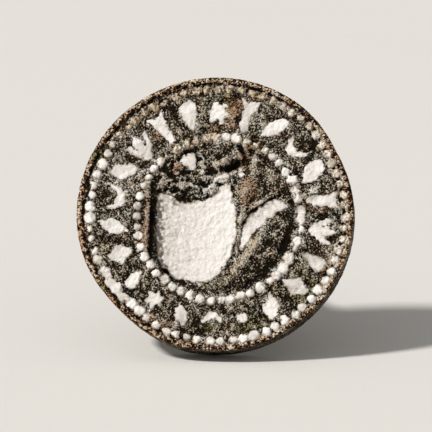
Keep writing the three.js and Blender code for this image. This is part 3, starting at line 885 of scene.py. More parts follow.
def makeInfillMaterial():
    # matt plaster: clean white, greyer with painted shade where it lies deep, stained where it is worn
    look = infillLook
    material, tree, shader = startMaterial("whiteInfill")
    grain = useGroup(tree, speckle, Size=look["grainSize"], Amount=1.0)

    def broken(name):
        # one of the mesh's values plus its share of the grain
        part = calculate(tree, "MULTIPLY", grain["Value"], look["broken"][name])
        return calculate(tree, "ADD", attribute(tree, name), part)

    colour = colourSteps(tree, broken("greyAndShade"), look["greyAndShadeSteps"])
    colour = mixColour(tree, remap(tree, broken("stain"), *look["stainRange"]), colour, look["stained"])
    colour = mixColour(tree, remap(tree, broken("grime"), *look["grimeRange"]), colour, look["grime"])
    finishMaterial(tree, shader, look, colour, grain["Value"])
    shader.inputs["Roughness"].default_value = look["roughness"]
    return material


handleLook = {
    # wear and the colour that it has
    "steps": (
        (0.08, srgb(22, 18, 14)), (0.4, srgb(60, 51, 40)),
        (0.72, srgb(106, 92, 71)), (1.0, srgb(164, 144, 112)),
    ),
    # rusty and tan patches: colour, where each starts and is full, and how much of it shows
    "tints": ((srgb(104, 66, 42), 0.02, 0.12, 0.45), (srgb(150, 130, 100), -0.05, -0.14, 0.3)),
    "hueSize": 1.1,
    "moss": (srgb(84, 90, 66), 0.7),
    "unevenness": (0.3, 0.7, -0.2, 0.2),  # range of the broad noise, and what it adds to the wear
    "metallic": 0.45,
    "grainSize": 0.11,
    "grainAmount": 3.0,
    "bump": 0.00007,
    "bumpStrength": 1.0,
    "roughness": (0.1, 1.0, 0.6, 0.3),  # two degrees of wear, and how rough the metal is there
}


def makeHandleMetal():
    # brown patina rubbed bright on arrises, dark and a little green in the hollows
    look = handleLook
    material, tree, shader = startMaterial("handleMetal")
    grain = useGroup(tree, speckle, Size=look["grainSize"], Amount=look["grainAmount"])
    value = calculate(tree, "ADD", attribute(tree, "wear"), grain["Value"])
    value = calculate(tree, "ADD", value, remap(tree, grain["Broad"], *look["unevenness"]))
    colour = colourSteps(tree, value, look["steps"])
    hue = useGroup(tree, speckle, Size=look["hueSize"], Amount=1.0)["Value"]
    for tint, start, full, most in look["tints"]:
        colour = mixColour(tree, remap(tree, hue, start, full, 0.0, most), colour, tint)
    moss, most = look["moss"]
    colour = mixColour(tree, calculate(tree, "MULTIPLY", attribute(tree, "moss"), most), colour, moss)
    finishMaterial(tree, shader, look, colour, grain["Value"])
    tree.links.new(remap(tree, value, *look["roughness"]), shader.inputs["Roughness"])
    shader.inputs["Metallic"].default_value = look["metallic"]
    return material


dieMetal = makeDieMetal()
whiteInfill = makeInfillMaterial()
handleMetal = makeHandleMetal()
print("materials made")

# The die, in closed pieces that meet on circles of the same points

dieGrid = {
    "around": 1240,
    "fieldRadius": 5.6,
    "borderMiddle": 8.0,
    "rimStart": 10.15,
    "backStart": 9.8,
    "innerRows": 62,
    "outerRows": 56,
    "underside": -1.5,  # where the pieces of the face and the rim end inside the die
    "backEnd": -1.6,  # where the back's piece ends
    "rimRows": (13, 11, 34, 10, 8),  # face, front arris, wall, back arris and strip of the back
}
turnAngles = fullTurn(dieGrid["around"])

# what lies on the metal beside the cuts: smears of infill in some places, and in the others a darkening
# that is partly soil and partly painted shade
besideCuts = {
    "hazeSize": 1.2,
    "hazeRange": (-0.05, 0.3),
    "haze": 0.5,
    "hazeSpots": (0.25, 1.6),  # size and strength of the noise that breaks it up
    "hazeMost": 0.8,
    "hazeWidth": 0.26,
    "soilAndShade": 0.17,
    "soilAndShadeWidth": 0.28,
}


def faceSurface(x, y):
    # points of the face with all their colour values
    height, bare, inCut, edge = faceHeight(x, y)
    places = onFace(x, y)
    values = rimValues(x, y, patchValues(x, y, places))
    outside = np.maximum(edge, 0)
    hazy = ramp(smoothNoise(places, besideCuts["hazeSize"], 28), *besideCuts["hazeRange"])
    size, strength = besideCuts["hazeSpots"]
    broken = besideCuts["haze"] * (1 + strength * smoothNoise(places, size, 20))
    smeared = hazy * broken * np.exp(-((outside / besideCuts["hazeWidth"]) ** 2))
    values["chalk"] = np.maximum(values["chalk"], np.clip(smeared, 0, besideCuts["hazeMost"]))
    # darker beside the cuts: partly soil, partly painted shade
    soiledAndShaded = besideCuts["soilAndShade"] * (1 - hazy) * np.exp(-((outside / besideCuts["soilAndShadeWidth"]) ** 2))
    values["tone"] = faceTone(x, y, bare) - soiledAndShaded
    # where the metal lies in a cut: soil and painted shade there
    values["pit"] = inCut
    return np.stack([x, y, height], axis=1), values


def emptyValues(values, count):
    # the same values for points that are buried
    return {key: np.concatenate([numbers, np.zeros(count)]) for key, numbers in values.items()}


def makeFaceRing(name, innerRadius, outerRadius, rows):
    # a flat ring: radius by angle, closed underneath by two plain circles
    radius = np.linspace(innerRadius, outerRadius, rows)[:, None]
    top, values = faceSurface(*roundPoints(radius, turnAngles, 0).T[:2])
    count = dieGrid["around"]
    under = np.concatenate([top[-count:], top[:count]])
    under[:, 2] = dieGrid["underside"]
    quads = ringQuads(rows + 2, count, True)[:, ::-1]
    sharp = np.zeros(len(top) + 2 * count, dtype=bool)
    sharp[:count] = True
    sharp[len(top) - count : len(top)] = True
    points = np.concatenate([top, under])
    values = emptyValues(values, 2 * count)
    makePiece(name, points, quads, noTriangles, dieMetal, "die", values, sharp)


def discGrid(radius):
    # a square grid drawn to a disc: each square shell becomes a circle with even steps round it
    cells = dieGrid["around"] // 4
    line = np.linspace(-1, 1, cells + 1)
    across, up = np.meshgrid(line, line)
    sideways = np.abs(across) > np.abs(up)
    reach = np.where(sideways, across, up)
    other = np.where(sideways, up, across)
    share = np.divide(other, reach, out=np.zeros_like(reach), where=reach != 0)
    turn = share * math.pi / 4
    x = np.where(sideways, reach * np.cos(turn), reach * np.sin(turn)) * radius
    y = np.where(sideways, reach * np.sin(turn), reach * np.cos(turn)) * radius
    row, column = np.meshgrid(np.arange(cells), np.arange(cells), indexing="ij")
    first = row * (cells + 1) + column
    quads = np.stack([first, first + 1, first + cells + 2, first + cells + 1], axis=-1).reshape(-1, 4)
    number = np.arange((cells + 1) ** 2).reshape(cells + 1, cells + 1)
    border = np.concatenate([number[0, :-1], number[:-1, -1], number[-1, :0:-1], number[:0:-1, 0]])
    return x.ravel(), y.ravel(), quads, border


def closeDisc(points, quads, border, level, flip):
    # a wall from the disc's border to a plain ring at the level, and a fan to its centre
    wall = points[border].copy()
    wall[:, 2] = level
    centre = np.array([[0, 0, level]])
    first = len(points)
    ring = first + np.arange(len(border))
    after, ringAfter = np.roll(border, -1), np.roll(ring, -1)
    sides = np.stack([border, ring, ringAfter, after], axis=1)
    triangles = fan(ring, first + len(border), not flip)
    if flip:
        sides = sides[:, ::-1]
        quads = quads[:, ::-1]
    sharp = np.zeros(first + len(border) + 1, dtype=bool)
    sharp[border] = True
    return np.concatenate([points, wall, centre]), np.concatenate([quads, sides]), triangles, sharp


def makeField():
    # the middle of the face, with the figure
    x, y, quads, border = discGrid(dieGrid["fieldRadius"])
    top, values = faceSurface(x, y)
    points, quads, triangles, sharp = closeDisc(top, quads, border, dieGrid["underside"], False)
    values = emptyValues(values, len(points) - len(top))
    makePiece("die_field", points, quads, triangles, dieMetal, "die", values, sharp)


wallShape = {
    "grain": 0.5,  # how deep the grain is, as a share of the face's
    "dents": ((1.6, 0.015), (0.55, 0.02)),  # size and depth
    # lower than the face's level: painted shade of the side wall, which the back shares
    "tone": 0.32,
    "crests": (0.115, 5),  # the grain's middle depth, and how much paler its crests are
    "unevenness": (1.1, 0.2),
    "arris": 0.3,  # how far down the wall the rim's colours go
    "shifted": 0.8,  # how much less of them shows where the rim's bands lie further in: the darker front arris there, on the right and lower side, is painted shade
    "backArris": (0.7, 0.6),  # how much of the rim's colour and rubbing the back arris has
    "resting": (6, 0.9),  # spread in degrees of the smooth place by the flat, and its most
}


def wallRelief(points):
    # the face's grain, a little smoother, with broad dents; and the tone that goes with it
    grain = metalGrain(points)
    depth = wallShape["grain"] * grain
    for number, (size, most) in enumerate(wallShape["dents"]):
        depth += most * (1 - smoothNoise(points, size, 13 + number))
    middle, strength = wallShape["crests"]
    size, swing = wallShape["unevenness"]
    tone = wallShape["tone"] + strength * (middle - grain) + swing * smoothNoise(points, size, 10)
    return depth, tone


def rimPatches(points):
    # patches of the face carried down the wall, and the rim's own colours on both arrises; the front arris
    # has the rim's painted highlight, and less colour on the right and lower side as painted shade
    x, y, z = points.T
    values = patchValues(x, y, points)
    shifted = bandShift(x, y) / faceRelief["bandShift"][2]
    front = np.exp(-((z / wallShape["arris"]) ** 2)) * (1 - wallShape["shifted"] * shifted)
    back = np.exp(-(((z + dieShape["thickness"]) / wallShape["arris"]) ** 2))
    colour, rubbing = wallShape["backArris"]
    values["rim"] = np.maximum(front, colour * back)
    values["rubbed"] = dieLook["ridgeLift"] * np.maximum(front * rimLightAndRubbing(x, y), rubbing * back)
    return values


def restingShare(degrees):
    # how much relief the metal loses this far from the middle of the flat that it rests on
    spread, most = wallShape["resting"]
    return most * np.exp(-((degrees / spread) ** 2))


def makeRim():
    # a profile carried round the edge: face, front arris, wall, back arris and a strip of the back
    front, back = dieShape["frontRound"], dieShape["backRound"]
    thickness = dieShape["thickness"]
    edge = edgeRadius(turnAngles)
    faceRows, frontRows, wallRows, backRows, stripRows = dieGrid["rimRows"]
    faceShare = np.linspace(0, 1, faceRows)[:, None]
    radius = dieGrid["rimStart"] + (edge - front - dieGrid["rimStart"]) * faceShare
    top, topValues = faceSurface(*roundPoints(radius, turnAngles, 0).T[:2])
    start = top[-dieGrid["around"]:, 2]

    frontTurn = np.linspace(0, math.pi / 2, frontRows + 1)[1:]
    backTurn = np.linspace(0, math.pi / 2, backRows + 1)[1:]
    wallDown = np.linspace(-front, back - thickness, wallRows + 1)[1:]
    strip = np.linspace(0, 1, stripRows + 1)[1:]
    # inset from the edge, height, and the outward direction, row by row
    inset = np.concatenate([front * (1 - np.sin(frontTurn)), 0 * wallDown, back * (1 - np.cos(backTurn))])
    frontDown = front * (np.cos(frontTurn) - 1)
    backDown = back * (1 - np.sin(backTurn)) - thickness
    height = np.concatenate([frontDown, wallDown, backDown, 0 * strip - thickness])[:, None]
    outwards = np.concatenate([np.sin(frontTurn), 0 * wallDown + 1, np.cos(backTurn), 0 * strip])
    upwards = np.concatenate([np.cos(frontTurn), 0 * wallDown, -np.sin(backTurn), 0 * strip - 1])
    stripRadius = (edge - back) + (dieGrid["backStart"] - (edge - back)) * strip[:, None]
    radius = np.concatenate([edge - inset[:, None], stripRadius])
    base = roundPoints(radius, turnAngles, height)
    depth, tone = wallRelief(base)
    # the face's own height at the arris dies away over the rounding
    carried = np.zeros_like(radius)
    carried[:frontRows] = start * np.cos(frontTurn)[:, None] ** dieShape["frontFall"]
    joinShare = np.ones_like(radius)
    joinShare[:frontRows] = np.sin(frontTurn)[:, None]
    sink = depth.reshape(radius.shape) * joinShare
    sink = sink * (1 - restingShare(np.degrees(turnAngles) - 270))
    radius = radius - sink * outwards[:, None]
    wall = roundPoints(radius, turnAngles, height - sink * upwards[:, None] + carried)
    wallValues = {"tone": tone, "pit": np.zeros(len(base)), **rimPatches(base)}
    points = np.concatenate([top, wall])
    values = {key: np.concatenate([topValues[key], wallValues[key]]) for key in topValues}
    rows = len(points) // dieGrid["around"]
    sharp = np.zeros(len(points), dtype=bool)
    sharp[: dieGrid["around"]] = True
    sharp[-dieGrid["around"]:] = True
    quads = ringQuads(rows, dieGrid["around"], True)[:, ::-1]
    makePiece("die_rim", points, quads, noTriangles, dieMetal, "die", values, sharp)


def makeBack():
    # the plain back, round the foot of the handle
    x, y, quads, border = discGrid(dieGrid["backStart"])
    base = np.stack([x, y, np.full(len(x), -dieShape["thickness"])], axis=1)
    depth, tone = wallRelief(base)
    resting = restingShare(np.degrees(np.arctan2(y, x)) + 90)
    atBorder = ramp(np.hypot(x, y), dieGrid["backStart"] - 1, dieGrid["backStart"])
    surface = base.copy()
    surface[:, 2] += depth * (1 - resting * atBorder)
    values = {"tone": tone, "pit": np.zeros(len(x)), **patchValues(x, y, base)}
    points, quads, triangles, sharp = closeDisc(surface, quads, border, dieGrid["backEnd"], True)
    values = emptyValues(values, len(points) - len(surface))
    makePiece("die_back", points, quads, triangles, dieMetal, "die", values, sharp)


makeField()
makeFaceRing("die_border_inner", dieGrid["fieldRadius"], dieGrid["borderMiddle"], dieGrid["innerRows"])
makeFaceRing("die_border_outer", dieGrid["borderMiddle"], dieGrid["rimStart"], dieGrid["outerRows"])
makeRim()
makeBack()
print("die made")

# The white infill

infillShape = {
    "cell": 0.045,
    "beyond": 0.3,  # how far the grid goes past the outline
    "margin": 0.05,  # how far an infill runs into the metal's wall
    "level": -0.34,
    "levelSpread": 0.06,
    "dimness": (0.3, 0.9, 0.35),  # its most at random, then size and strength of its noise
    "bumps": ((0.7, 0.05), (0.33, 0.04), (0.17, 0.026), (0.1, 0.012)),
    "edgeDrop": (0.04, -0.08),  # how much the surface drops at its edge, and where that starts
    "bottomGap": 0.05,
    # ovals where the infill has fallen out, with the depth of the bite last
    "notches": (
        (-3.75, -4.65, 0.4, 0.28, 0, 0.7), (-1.45, 4.7, 0.3, 0.6, 0, 0.5), (1.4, 2.9, 0.3, 0.2, 0, 0.4),
    ),
}
# infills that sink to one side, with a painted shadow as a dim fringe along it
slopingInfill = {
    # level at the shallow and at the deep side, the way down in degrees, and on the deep side
    # the gap and the strength of the painted shadow fringe
    "pieces": {
        "infill_figure_body": (-0.28, -0.66, 176, 0.05, 0.62),
        "infill_figure_wing": (-0.26, -0.45, 128, 0.0, 0.0),
    },
    "bend": 1.3,
    "gapFrom": (0.75, 0.95),  # shares of the way down over which the gap opens
    "fringe": (0.46, 0.2, 0.06),  # width, softness of its edge and how far that wanders
    "shadowFringeFrom": (0.5, 0.8),  # shares of the way down over which it comes in
    "fringeTop": (0.6, 1.5),  # heights on the face over which it ends
    "spots": (0.3, 0.8, 1.5),  # size, strength and most of the noise that breaks it up
    "fleckSize": 0.15,
    "dim": (0.05, 0.5, 0.35, 0.3),  # dimness on the shallow side; on the deep side, painted shade with spots and flecks
}
# along an infill's edge: strength and how far in it starts, each with what a wide stretch adds,
# and where it is full
edgeLook = {
    "wide": (0.8, -0.2, 0.35),  # size of the noise, and the range over which a stretch is wide
    "kinds": {
        "stain": (0.15, 0.35, 0.12, 0.22, 0.0),
        "grime": (0.6, 0.3, 0.08, 0.1, 0.04),
        # darker just inside the edge: painted shade under the metal's wall
        "greyAndShade": (0.4, 0.0, 0.16, 0.12, 0.02),
    },
}
beadInfill = {
    "level": -0.22,
    "dome": (0.07, 0.25),  # height of a bead's dome and the width of its slope
    "joinDrop": 0.08,
    "proud": 0.04,
    "wornEdge": (0.12, -0.08, 0.04),  # how much a worn bead drops at its edge, and where
    "highest": -0.01,
    "around": 1380,
    "rows": 24,
    "halfWidth": 0.6,
    "bottom": -0.45,
    "wornStain": 0.7,
    "wornGrime": (0.24, 0.6, 0.9),  # size of its noise, then level and swing
    "betweenGrime": 0.35,
    # dimness, as painted shade and grey, darker between beads: share of the edge's own, level, between
    # beads, and size and strength of its noise
    "greyAndShade": (0.5, 0.1, 0.55, 0.7, 0.6),
}


def fillCorners(kept, wraps):
    # where two kept cells touch only at a corner, one more between them is kept

    def shifted(cells, rows, columns):
        # the cells moved by rows and columns, with nothing coming in at an open side
        moved = np.roll(cells, (rows, columns), axis=(0, 1))
        if rows:
            moved[0 if rows > 0 else -1] = False
        if columns and not wraps:
            moved[:, 0 if columns > 0 else -1] = False
        return moved

    while True:
        right, down = shifted(kept, 0, -1), shifted(kept, -1, 0)
        corner = shifted(down, 0, -1)
        touching = (kept & corner & ~right & ~down) | (right & down & ~kept & ~corner)
        if not touching.any():
            return kept
        kept = kept | touching | shifted(touching & ~down, 1, 0)


def blockMesh(kept, top, bottom, wraps):
    # a closed block over the kept cells of a grid: its top, its bottom and a wall round it
    rows, columns = kept.shape
    across = columns if wraps else columns + 1
    row, column = np.nonzero(kept)
    nextColumn = (column + 1) % across if wraps else column + 1
    low = np.stack([row * across + column, row * across + nextColumn], axis=1)
    high = low + across
    faces = np.stack([low[:, 0], low[:, 1], high[:, 1], high[:, 0]], axis=1)
    beyond = len(top)
    quads = [faces, faces[:, ::-1] + beyond]
    padded = np.pad(kept, ((1, 1), (0, 0)))
    sideCells = {(0, 1): padded[:-2], (2, 3): padded[2:]}
    if wraps:
        sideCells[(1, 2)] = np.roll(kept, -1, axis=1)
        sideCells[(3, 0)] = np.roll(kept, 1, axis=1)
    else:
        widened = np.pad(kept, ((0, 0), (1, 1)))
        sideCells[(1, 2)] = widened[:, 2:]
        sideCells[(3, 0)] = widened[:, :-2]
    for (first, second), neighbour in sideCells.items():
        bare = ~neighbour[row, column]
        start, end = faces[bare, first], faces[bare, second]
        quads.append(np.stack([start, start + beyond, end + beyond, end], axis=1))
    quads = np.concatenate(quads)
    used, compact = np.unique(quads, return_inverse=True)
    points = np.concatenate([top, bottom])[used]
    return points, compact.reshape(-1, 4), used % beyond


def infillTop(x, y, level, distance):
    # an uneven surface that drops a little where it goes under the metal's edge
    places = onFace(x, y)
    height = np.full(len(x), 0.0) + level
    for size, rise in infillShape["bumps"]:
        height += rise * smoothNoise(places, size, 17)
    drop, start = infillShape["edgeDrop"]
    return height - drop * ramp(distance, start, infillShape["margin"])


def edgeStains(x, y, distance):
    # tan, dirt and shade along an infill's edge, wide in some places
    size, low, high = edgeLook["wide"]
    wide = ramp(smoothNoise(onFace(x, y), size, 27), low, high)
    values = {}
    for kind, (strength, more, width, wider, full) in edgeLook["kinds"].items():
        values[kind] = (strength + more * wide) * ramp(distance, -width - wider * wide, full)
    return values


def finishInfill(name, points, quads, values, source):
    # the piece keeps the values of the points that are left
    values = {key: numbers[source] for key, numbers in values.items()}
    piece = name.replace("infill", "plaster")
    makePiece(piece, points, quads, noTriangles, whiteInfill, name, values)


def slopeDown(name, x, y, distance):
    # level, edge and dimness of an infill that sinks the further the way down it lies: painted shade on
    # the deep side, with a painted shadow fringe
    shape = slopingInfill
    shallow, deepest, degrees, gap, dimness = shape["pieces"][name]
    turn = math.radians(degrees)
    ends = cutOutlines[name][0] @ [math.cos(turn), math.sin(turn)]
    onward = x * math.cos(turn) + y * math.sin(turn)
    share = np.clip((onward - ends.min()) / np.ptp(ends), 0, 1) ** shape["bend"]
    distance = distance + gap * ramp(share, *shape["gapFrom"])
    size, strength, most = shape["spots"]
    spots = smoothNoise(onFace(x, y), size, 30)
    flecks = smoothNoise(onFace(x, y), shape["fleckSize"], 33)
    width, soft, wander = shape["fringe"]
    fringe = ramp(distance + wander * spots, -width - soft, -width + soft)
    fringe = fringe * ramp(share, *shape["shadowFringeFrom"]) * (1 - ramp(y, *shape["fringeTop"]))
    fringe = dimness * fringe * np.clip(1 + strength * spots, 0, most)
    start, level, spotted, flecked = shape["dim"]
    greyAndShade = start + share * (level + spotted * spots + flecked * flecks) + fringe
    return shallow + (deepest - shallow) * share, distance, greyAndShade


def makeCutInfill(name, order):
    # a square grid over one cut, kept where it lies inside the cut's ragged edge
    segments, bottom = cutOutlines[name]
    cell, beyond = infillShape["cell"], infillShape["beyond"]
    low = segments.min(axis=(0, 1)) - beyond
    high = segments.max(axis=(0, 1)) + beyond
    columns, rows = np.ceil((high - low) / cell).astype(int)
    x, y = np.meshgrid(low[0] + cell * np.arange(columns + 1), low[1] + cell * np.arange(rows + 1))
    x, y = x.ravel(), y.ravel()
    distance = outlineDistance(np.stack([x, y], axis=1), segments)
    distance += raggedness(x, y) - wellShape["swell"]
    chance = np.random.default_rng(order)
    level = infillShape["level"] + infillShape["levelSpread"] * chance.uniform(-1, 1)
    most, size, swing = infillShape["dimness"]
    greyAndShade = chance.uniform(0, most) + swing * smoothNoise(onFace(x, y), size, 26)
    if name in slopingInfill["pieces"]:
        level, distance, greyAndShade = slopeDown(name, x, y, distance)
    for notch in infillShape["notches"]:
        distance = distance + notch[5] * spotShare(x, y, notch)
    atCell = distance.reshape(rows + 1, columns + 1)
    atCell = (atCell[:-1, :-1] + atCell[1:, :-1] + atCell[:-1, 1:] + atCell[1:, 1:]) / 4
    kept = fillCorners(atCell < infillShape["margin"], False)
    top = np.stack([x, y, infillTop(x, y, level, distance)], axis=1)
    under = top.copy()
    under[:, 2] = bottom + infillShape["bottomGap"]
    points, quads, source = blockMesh(kept, top, under, False)
    values = edgeStains(x, y, distance)
    values["greyAndShade"] = values["greyAndShade"] + greyAndShade
    finishInfill(name, points, quads, values, source)


def makeBeadInfill(name, ring):
    # a ring-shaped grid over one row of beads, kept where a bead or a fused stretch lies
    shape = beadInfill
    around, rows = shape["around"], shape["rows"]
    centreX, centreY = ring["centre"]
    angle = fullTurn(around)
    offset = np.linspace(-shape["halfWidth"], shape["halfWidth"], rows + 1)[:, None]
    radius = ringMiddle(ring, angle) + offset
    x = (centreX + radius * np.cos(angle)).ravel()
    y = (centreY + radius * np.sin(angle)).ravel()
    places = onFace(x, y)
    distance, wear, between = beadDistance(x, y, ring)
    atPoint = distance.reshape(rows + 1, around)
    atCell = (atPoint + np.roll(atPoint, -1, axis=1)) / 2
    atCell = (atCell[:-1] + atCell[1:]) / 2
    kept = fillCorners(atCell < infillShape["margin"], True)
    dome, slope = shape["dome"]
    level = shape["level"] + dome * ramp(-distance, 0, slope) - shape["joinDrop"] * between
    fresh = infillTop(x, y, level, distance)
    # a worn bead is as rough as the metal and nearly level with it
    drop, start, end = shape["wornEdge"]
    worn = macroHeight(x, y) - metalGrain(places) + shape["proud"] - drop * ramp(distance, start, end)
    worn = np.minimum(worn, shape["highest"])
    top = np.stack([x, y, fresh * (1 - wear) + worn * wear], axis=1)
    under = top.copy()
    under[:, 2] = shape["bottom"]
    points, quads, source = blockMesh(kept, top, under, True)
    values = edgeStains(x, y, distance)
    size, level, swing = shape["wornGrime"]
    dirty = wear * np.clip(level + swing * smoothNoise(places, size, 31), 0, 1)
    dirty = np.maximum(dirty, shape["betweenGrime"] * between)
    values["stain"] = np.maximum(values["stain"], shape["wornStain"] * wear)
    values["grime"] = np.maximum(values["grime"], dirty)
    share, level, dip, size, swing = shape["greyAndShade"]
    values["greyAndShade"] = share * values["greyAndShade"] + level + dip * between + swing * smoothNoise(places, size, 29)
    finishInfill(name, points, quads[:, ::-1], values, source)


for order, name in enumerate(cutNames):
    makeCutInfill(name, order)
makeBeadInfill("infill_outer_beads", outerBeads)
makeBeadInfill("infill_inner_beads", innerBeads)
print("infill made")

# The handle

# Dents and facets: size and depth. Wear: its level, what a rubbed arris adds and what each
# facet adds. Moss: its level and size of noise, then how strong it is and how far it reaches.

stemShape = {
    "top": -2.96, "bottom": -16.06, "foot": 5.25, "neck": 2.33, "flare": 3.1, "sides": 6,
    "softness": 26, "braze": 0.3, "brazeLength": 0.22, "rows": 150, "around": 240,
    "crowding": 1.4,  # how much closer the rows lie near the foot
    "dents": (2.2, 0.03),
    "facets": (0.55, 0.02),
    "scratches": (0.3, 0.012, 0.15),  # size, depth and how much they are drawn out
    "arris": (0.03, 0.12),  # how far a place stands out over which it counts as an arris
    "wear": (0.32, 0.45, 0.15),
    "footShade": (0.25, 0.5),  # how much darker the foot is, as painted shade where it meets the back, and how far up
    "moss": (0.7, 0.9),
    "footMoss": (0.8, 0.45),
    "topMoss": (0.5, 0.3),
}
collarShape = {
    "top": -16.06, "bottom": -18.46, "fillet": 2.63, "bulge": 3.28, "waist": 2.42,
    "rows": 90, "around": 200,
    "bulgeHalf": 0.62,  # half the height of the round moulding
    "filletAt": (0.93, 0.21),  # how far from its middle each fillet lies, and its half height
    "dents": (1.1, 0.02),
    "facets": (0.4, 0.015),
    "wear": (0.12, 0.6, 0.15),
    "moss": (0.6, 0.8),
    "hollowMoss": 0.6,
}
loopShape = {
    "middle": -22.99, "radius": 3.55, "hole": 1.68, "halfThickness": 1.17, "around": 220,
    "section": 64, "squareness": 3.2,
    "wornEnd": (3.47, -0.5),  # distance to the worn end, and the cosine from which it counts
    "shankTop": -18.49, "shankRadius": 1.97, "shankRows": 60, "shankLength": 2.9,
    "flattens": (0.1, 0.8),  # shares of the shank's length over which it flattens
    "widens": 0.75,
    "thinner": 0.04,
    "dents": (1.3, 0.018),
    "facets": (0.45, 0.015),
    "wear": (0.35, 0.35, 0.15),
    "rubbedFrom": 0.5,
    "moss": (0.6, 0.8),
    "topMoss": (0.6, 0.5),
}


def capEnds(points, rows, around, firstCentre, lastCentre):
    # closes both ends of a tube of rows with fans
    first, last = len(points), len(points) + 1
    near = fan(np.arange(around), first, True)
    far = fan(np.arange(around) + (rows - 1) * around, last, False)
    return np.concatenate([points, [firstCentre, lastCentre]]), np.concatenate([near, far])


def handleDents(points, shape, salt):
    # how deep noise and facets dent the metal, and each facet's own number
    size, depth = shape["dents"]
    facetSize, facetDepth = shape["facets"]
    near, owner = grainNoise(points, facetSize, salt)
    dent = depth * (1 - smoothNoise(points, size, salt + 1)) + facetDepth * np.clip(near, 0, 1)
    return dent, owner


def mossNoise(points, shape, salt):
    # where moss holds, from 0 to 1
    level, size = shape["moss"]
    return np.clip(level + smoothNoise(points, size, salt), 0, 1)


def finishTube(name, node, shape, points, wear, moss):
    # a tube of rows, closed at both ends
    ends = [0, 0, shape["top"]], [0, 0, shape["bottom"]]
    points, triangles = capEnds(points, shape["rows"], shape["around"], *ends)
    values = {"wear": np.append(wear, [0, 0]), "moss": np.append(moss, [0, 0])}
    quads = ringQuads(shape["rows"], shape["around"], False)[:, ::-1]
    makePiece(name, points, quads, triangles, handleMetal, node, values)


def makeStem():
    # a soft six-sided section whose size flares towards the foot: size over the smooth largest side
    shape = stemShape
    down = np.linspace(0, 1, shape["rows"])[:, None] ** shape["crowding"]
    along = (shape["top"] - shape["bottom"]) * down
    angle = fullTurn(shape["around"])
    facing = np.maximum(np.cos(angle[:, None] - fullTurn(shape["sides"])), 0)  # of each flat
    gauge = (facing ** shape["softness"]).sum(axis=1) ** (1 / shape["softness"])
    size = shape["neck"] + (shape["foot"] - shape["neck"]) * np.exp(-along / shape["flare"])
    radius = size * math.cos(math.pi / shape["sides"]) / gauge
    radius = radius + shape["braze"] * np.exp(-along / shape["brazeLength"])
    base = roundPoints(radius, angle, shape["top"] - along)
    dent, owner = handleDents(base, shape, 21)
    scratchSize, depth, drawnOut = shape["scratches"]
    dent = dent + depth * smoothNoise(base * [1, 1, drawnOut], scratchSize, 23)
    points = roundPoints(radius - dent.reshape(radius.shape), angle, shape["top"] - along)
    level, rubbed, own = shape["wear"]
    shade, shadeLength = shape["footShade"]
    wear = level + rubbed * ramp(1 / gauge - 1, *shape["arris"]) + own * owner.reshape(radius.shape)
    # painted shade at the foot, where the stem meets the back
    wear = wear - shade * np.exp(-along / shadeLength)
    foot, footLength = shape["footMoss"]
    top, topLength = shape["topMoss"]
    moss = foot * np.exp(-along / footLength) + top * np.exp(-(along[-1] - along) / topLength)
    moss = moss * mossNoise(base, shape, 24).reshape(radius.shape)
    finishTube("stem_skin", "handle_stem", shape, points, wear, moss)


def makeCollar():
    # a turned ring: fillet, hollow, round moulding, hollow and fillet
    shape = collarShape
    share = np.linspace(0, 1, shape["rows"])[:, None]
    length = shape["top"] - shape["bottom"]
    height = shape["top"] - length * share
    middle = (share - 0.5) * length
    bulge = np.sqrt(np.clip(1 - (middle / shape["bulgeHalf"]) ** 2, 0, 1))
    at, halfHeight = shape["filletAt"]
    fillets = np.exp(-(((np.abs(middle) - at) / halfHeight) ** 4))
    radius = shape["waist"] + (shape["bulge"] - shape["waist"]) * bulge
    radius = np.maximum(radius, shape["waist"] + (shape["fillet"] - shape["waist"]) * fillets)
    angle = fullTurn(shape["around"])
    radius = radius + 0 * angle
    base = roundPoints(radius, angle, height)
    dent, owner = handleDents(base, shape, 31)
    points = roundPoints(radius - dent.reshape(radius.shape), angle, height)
    high = ((radius - shape["waist"]) / (shape["bulge"] - shape["waist"])).ravel()
    level, rubbed, own = shape["wear"]
    wear = level + rubbed * high + own * owner
    moss = shape["hollowMoss"] * (1 - high) * mossNoise(base, shape, 33)
    finishTube("collar", "stem_collar", shape, points, wear, moss)


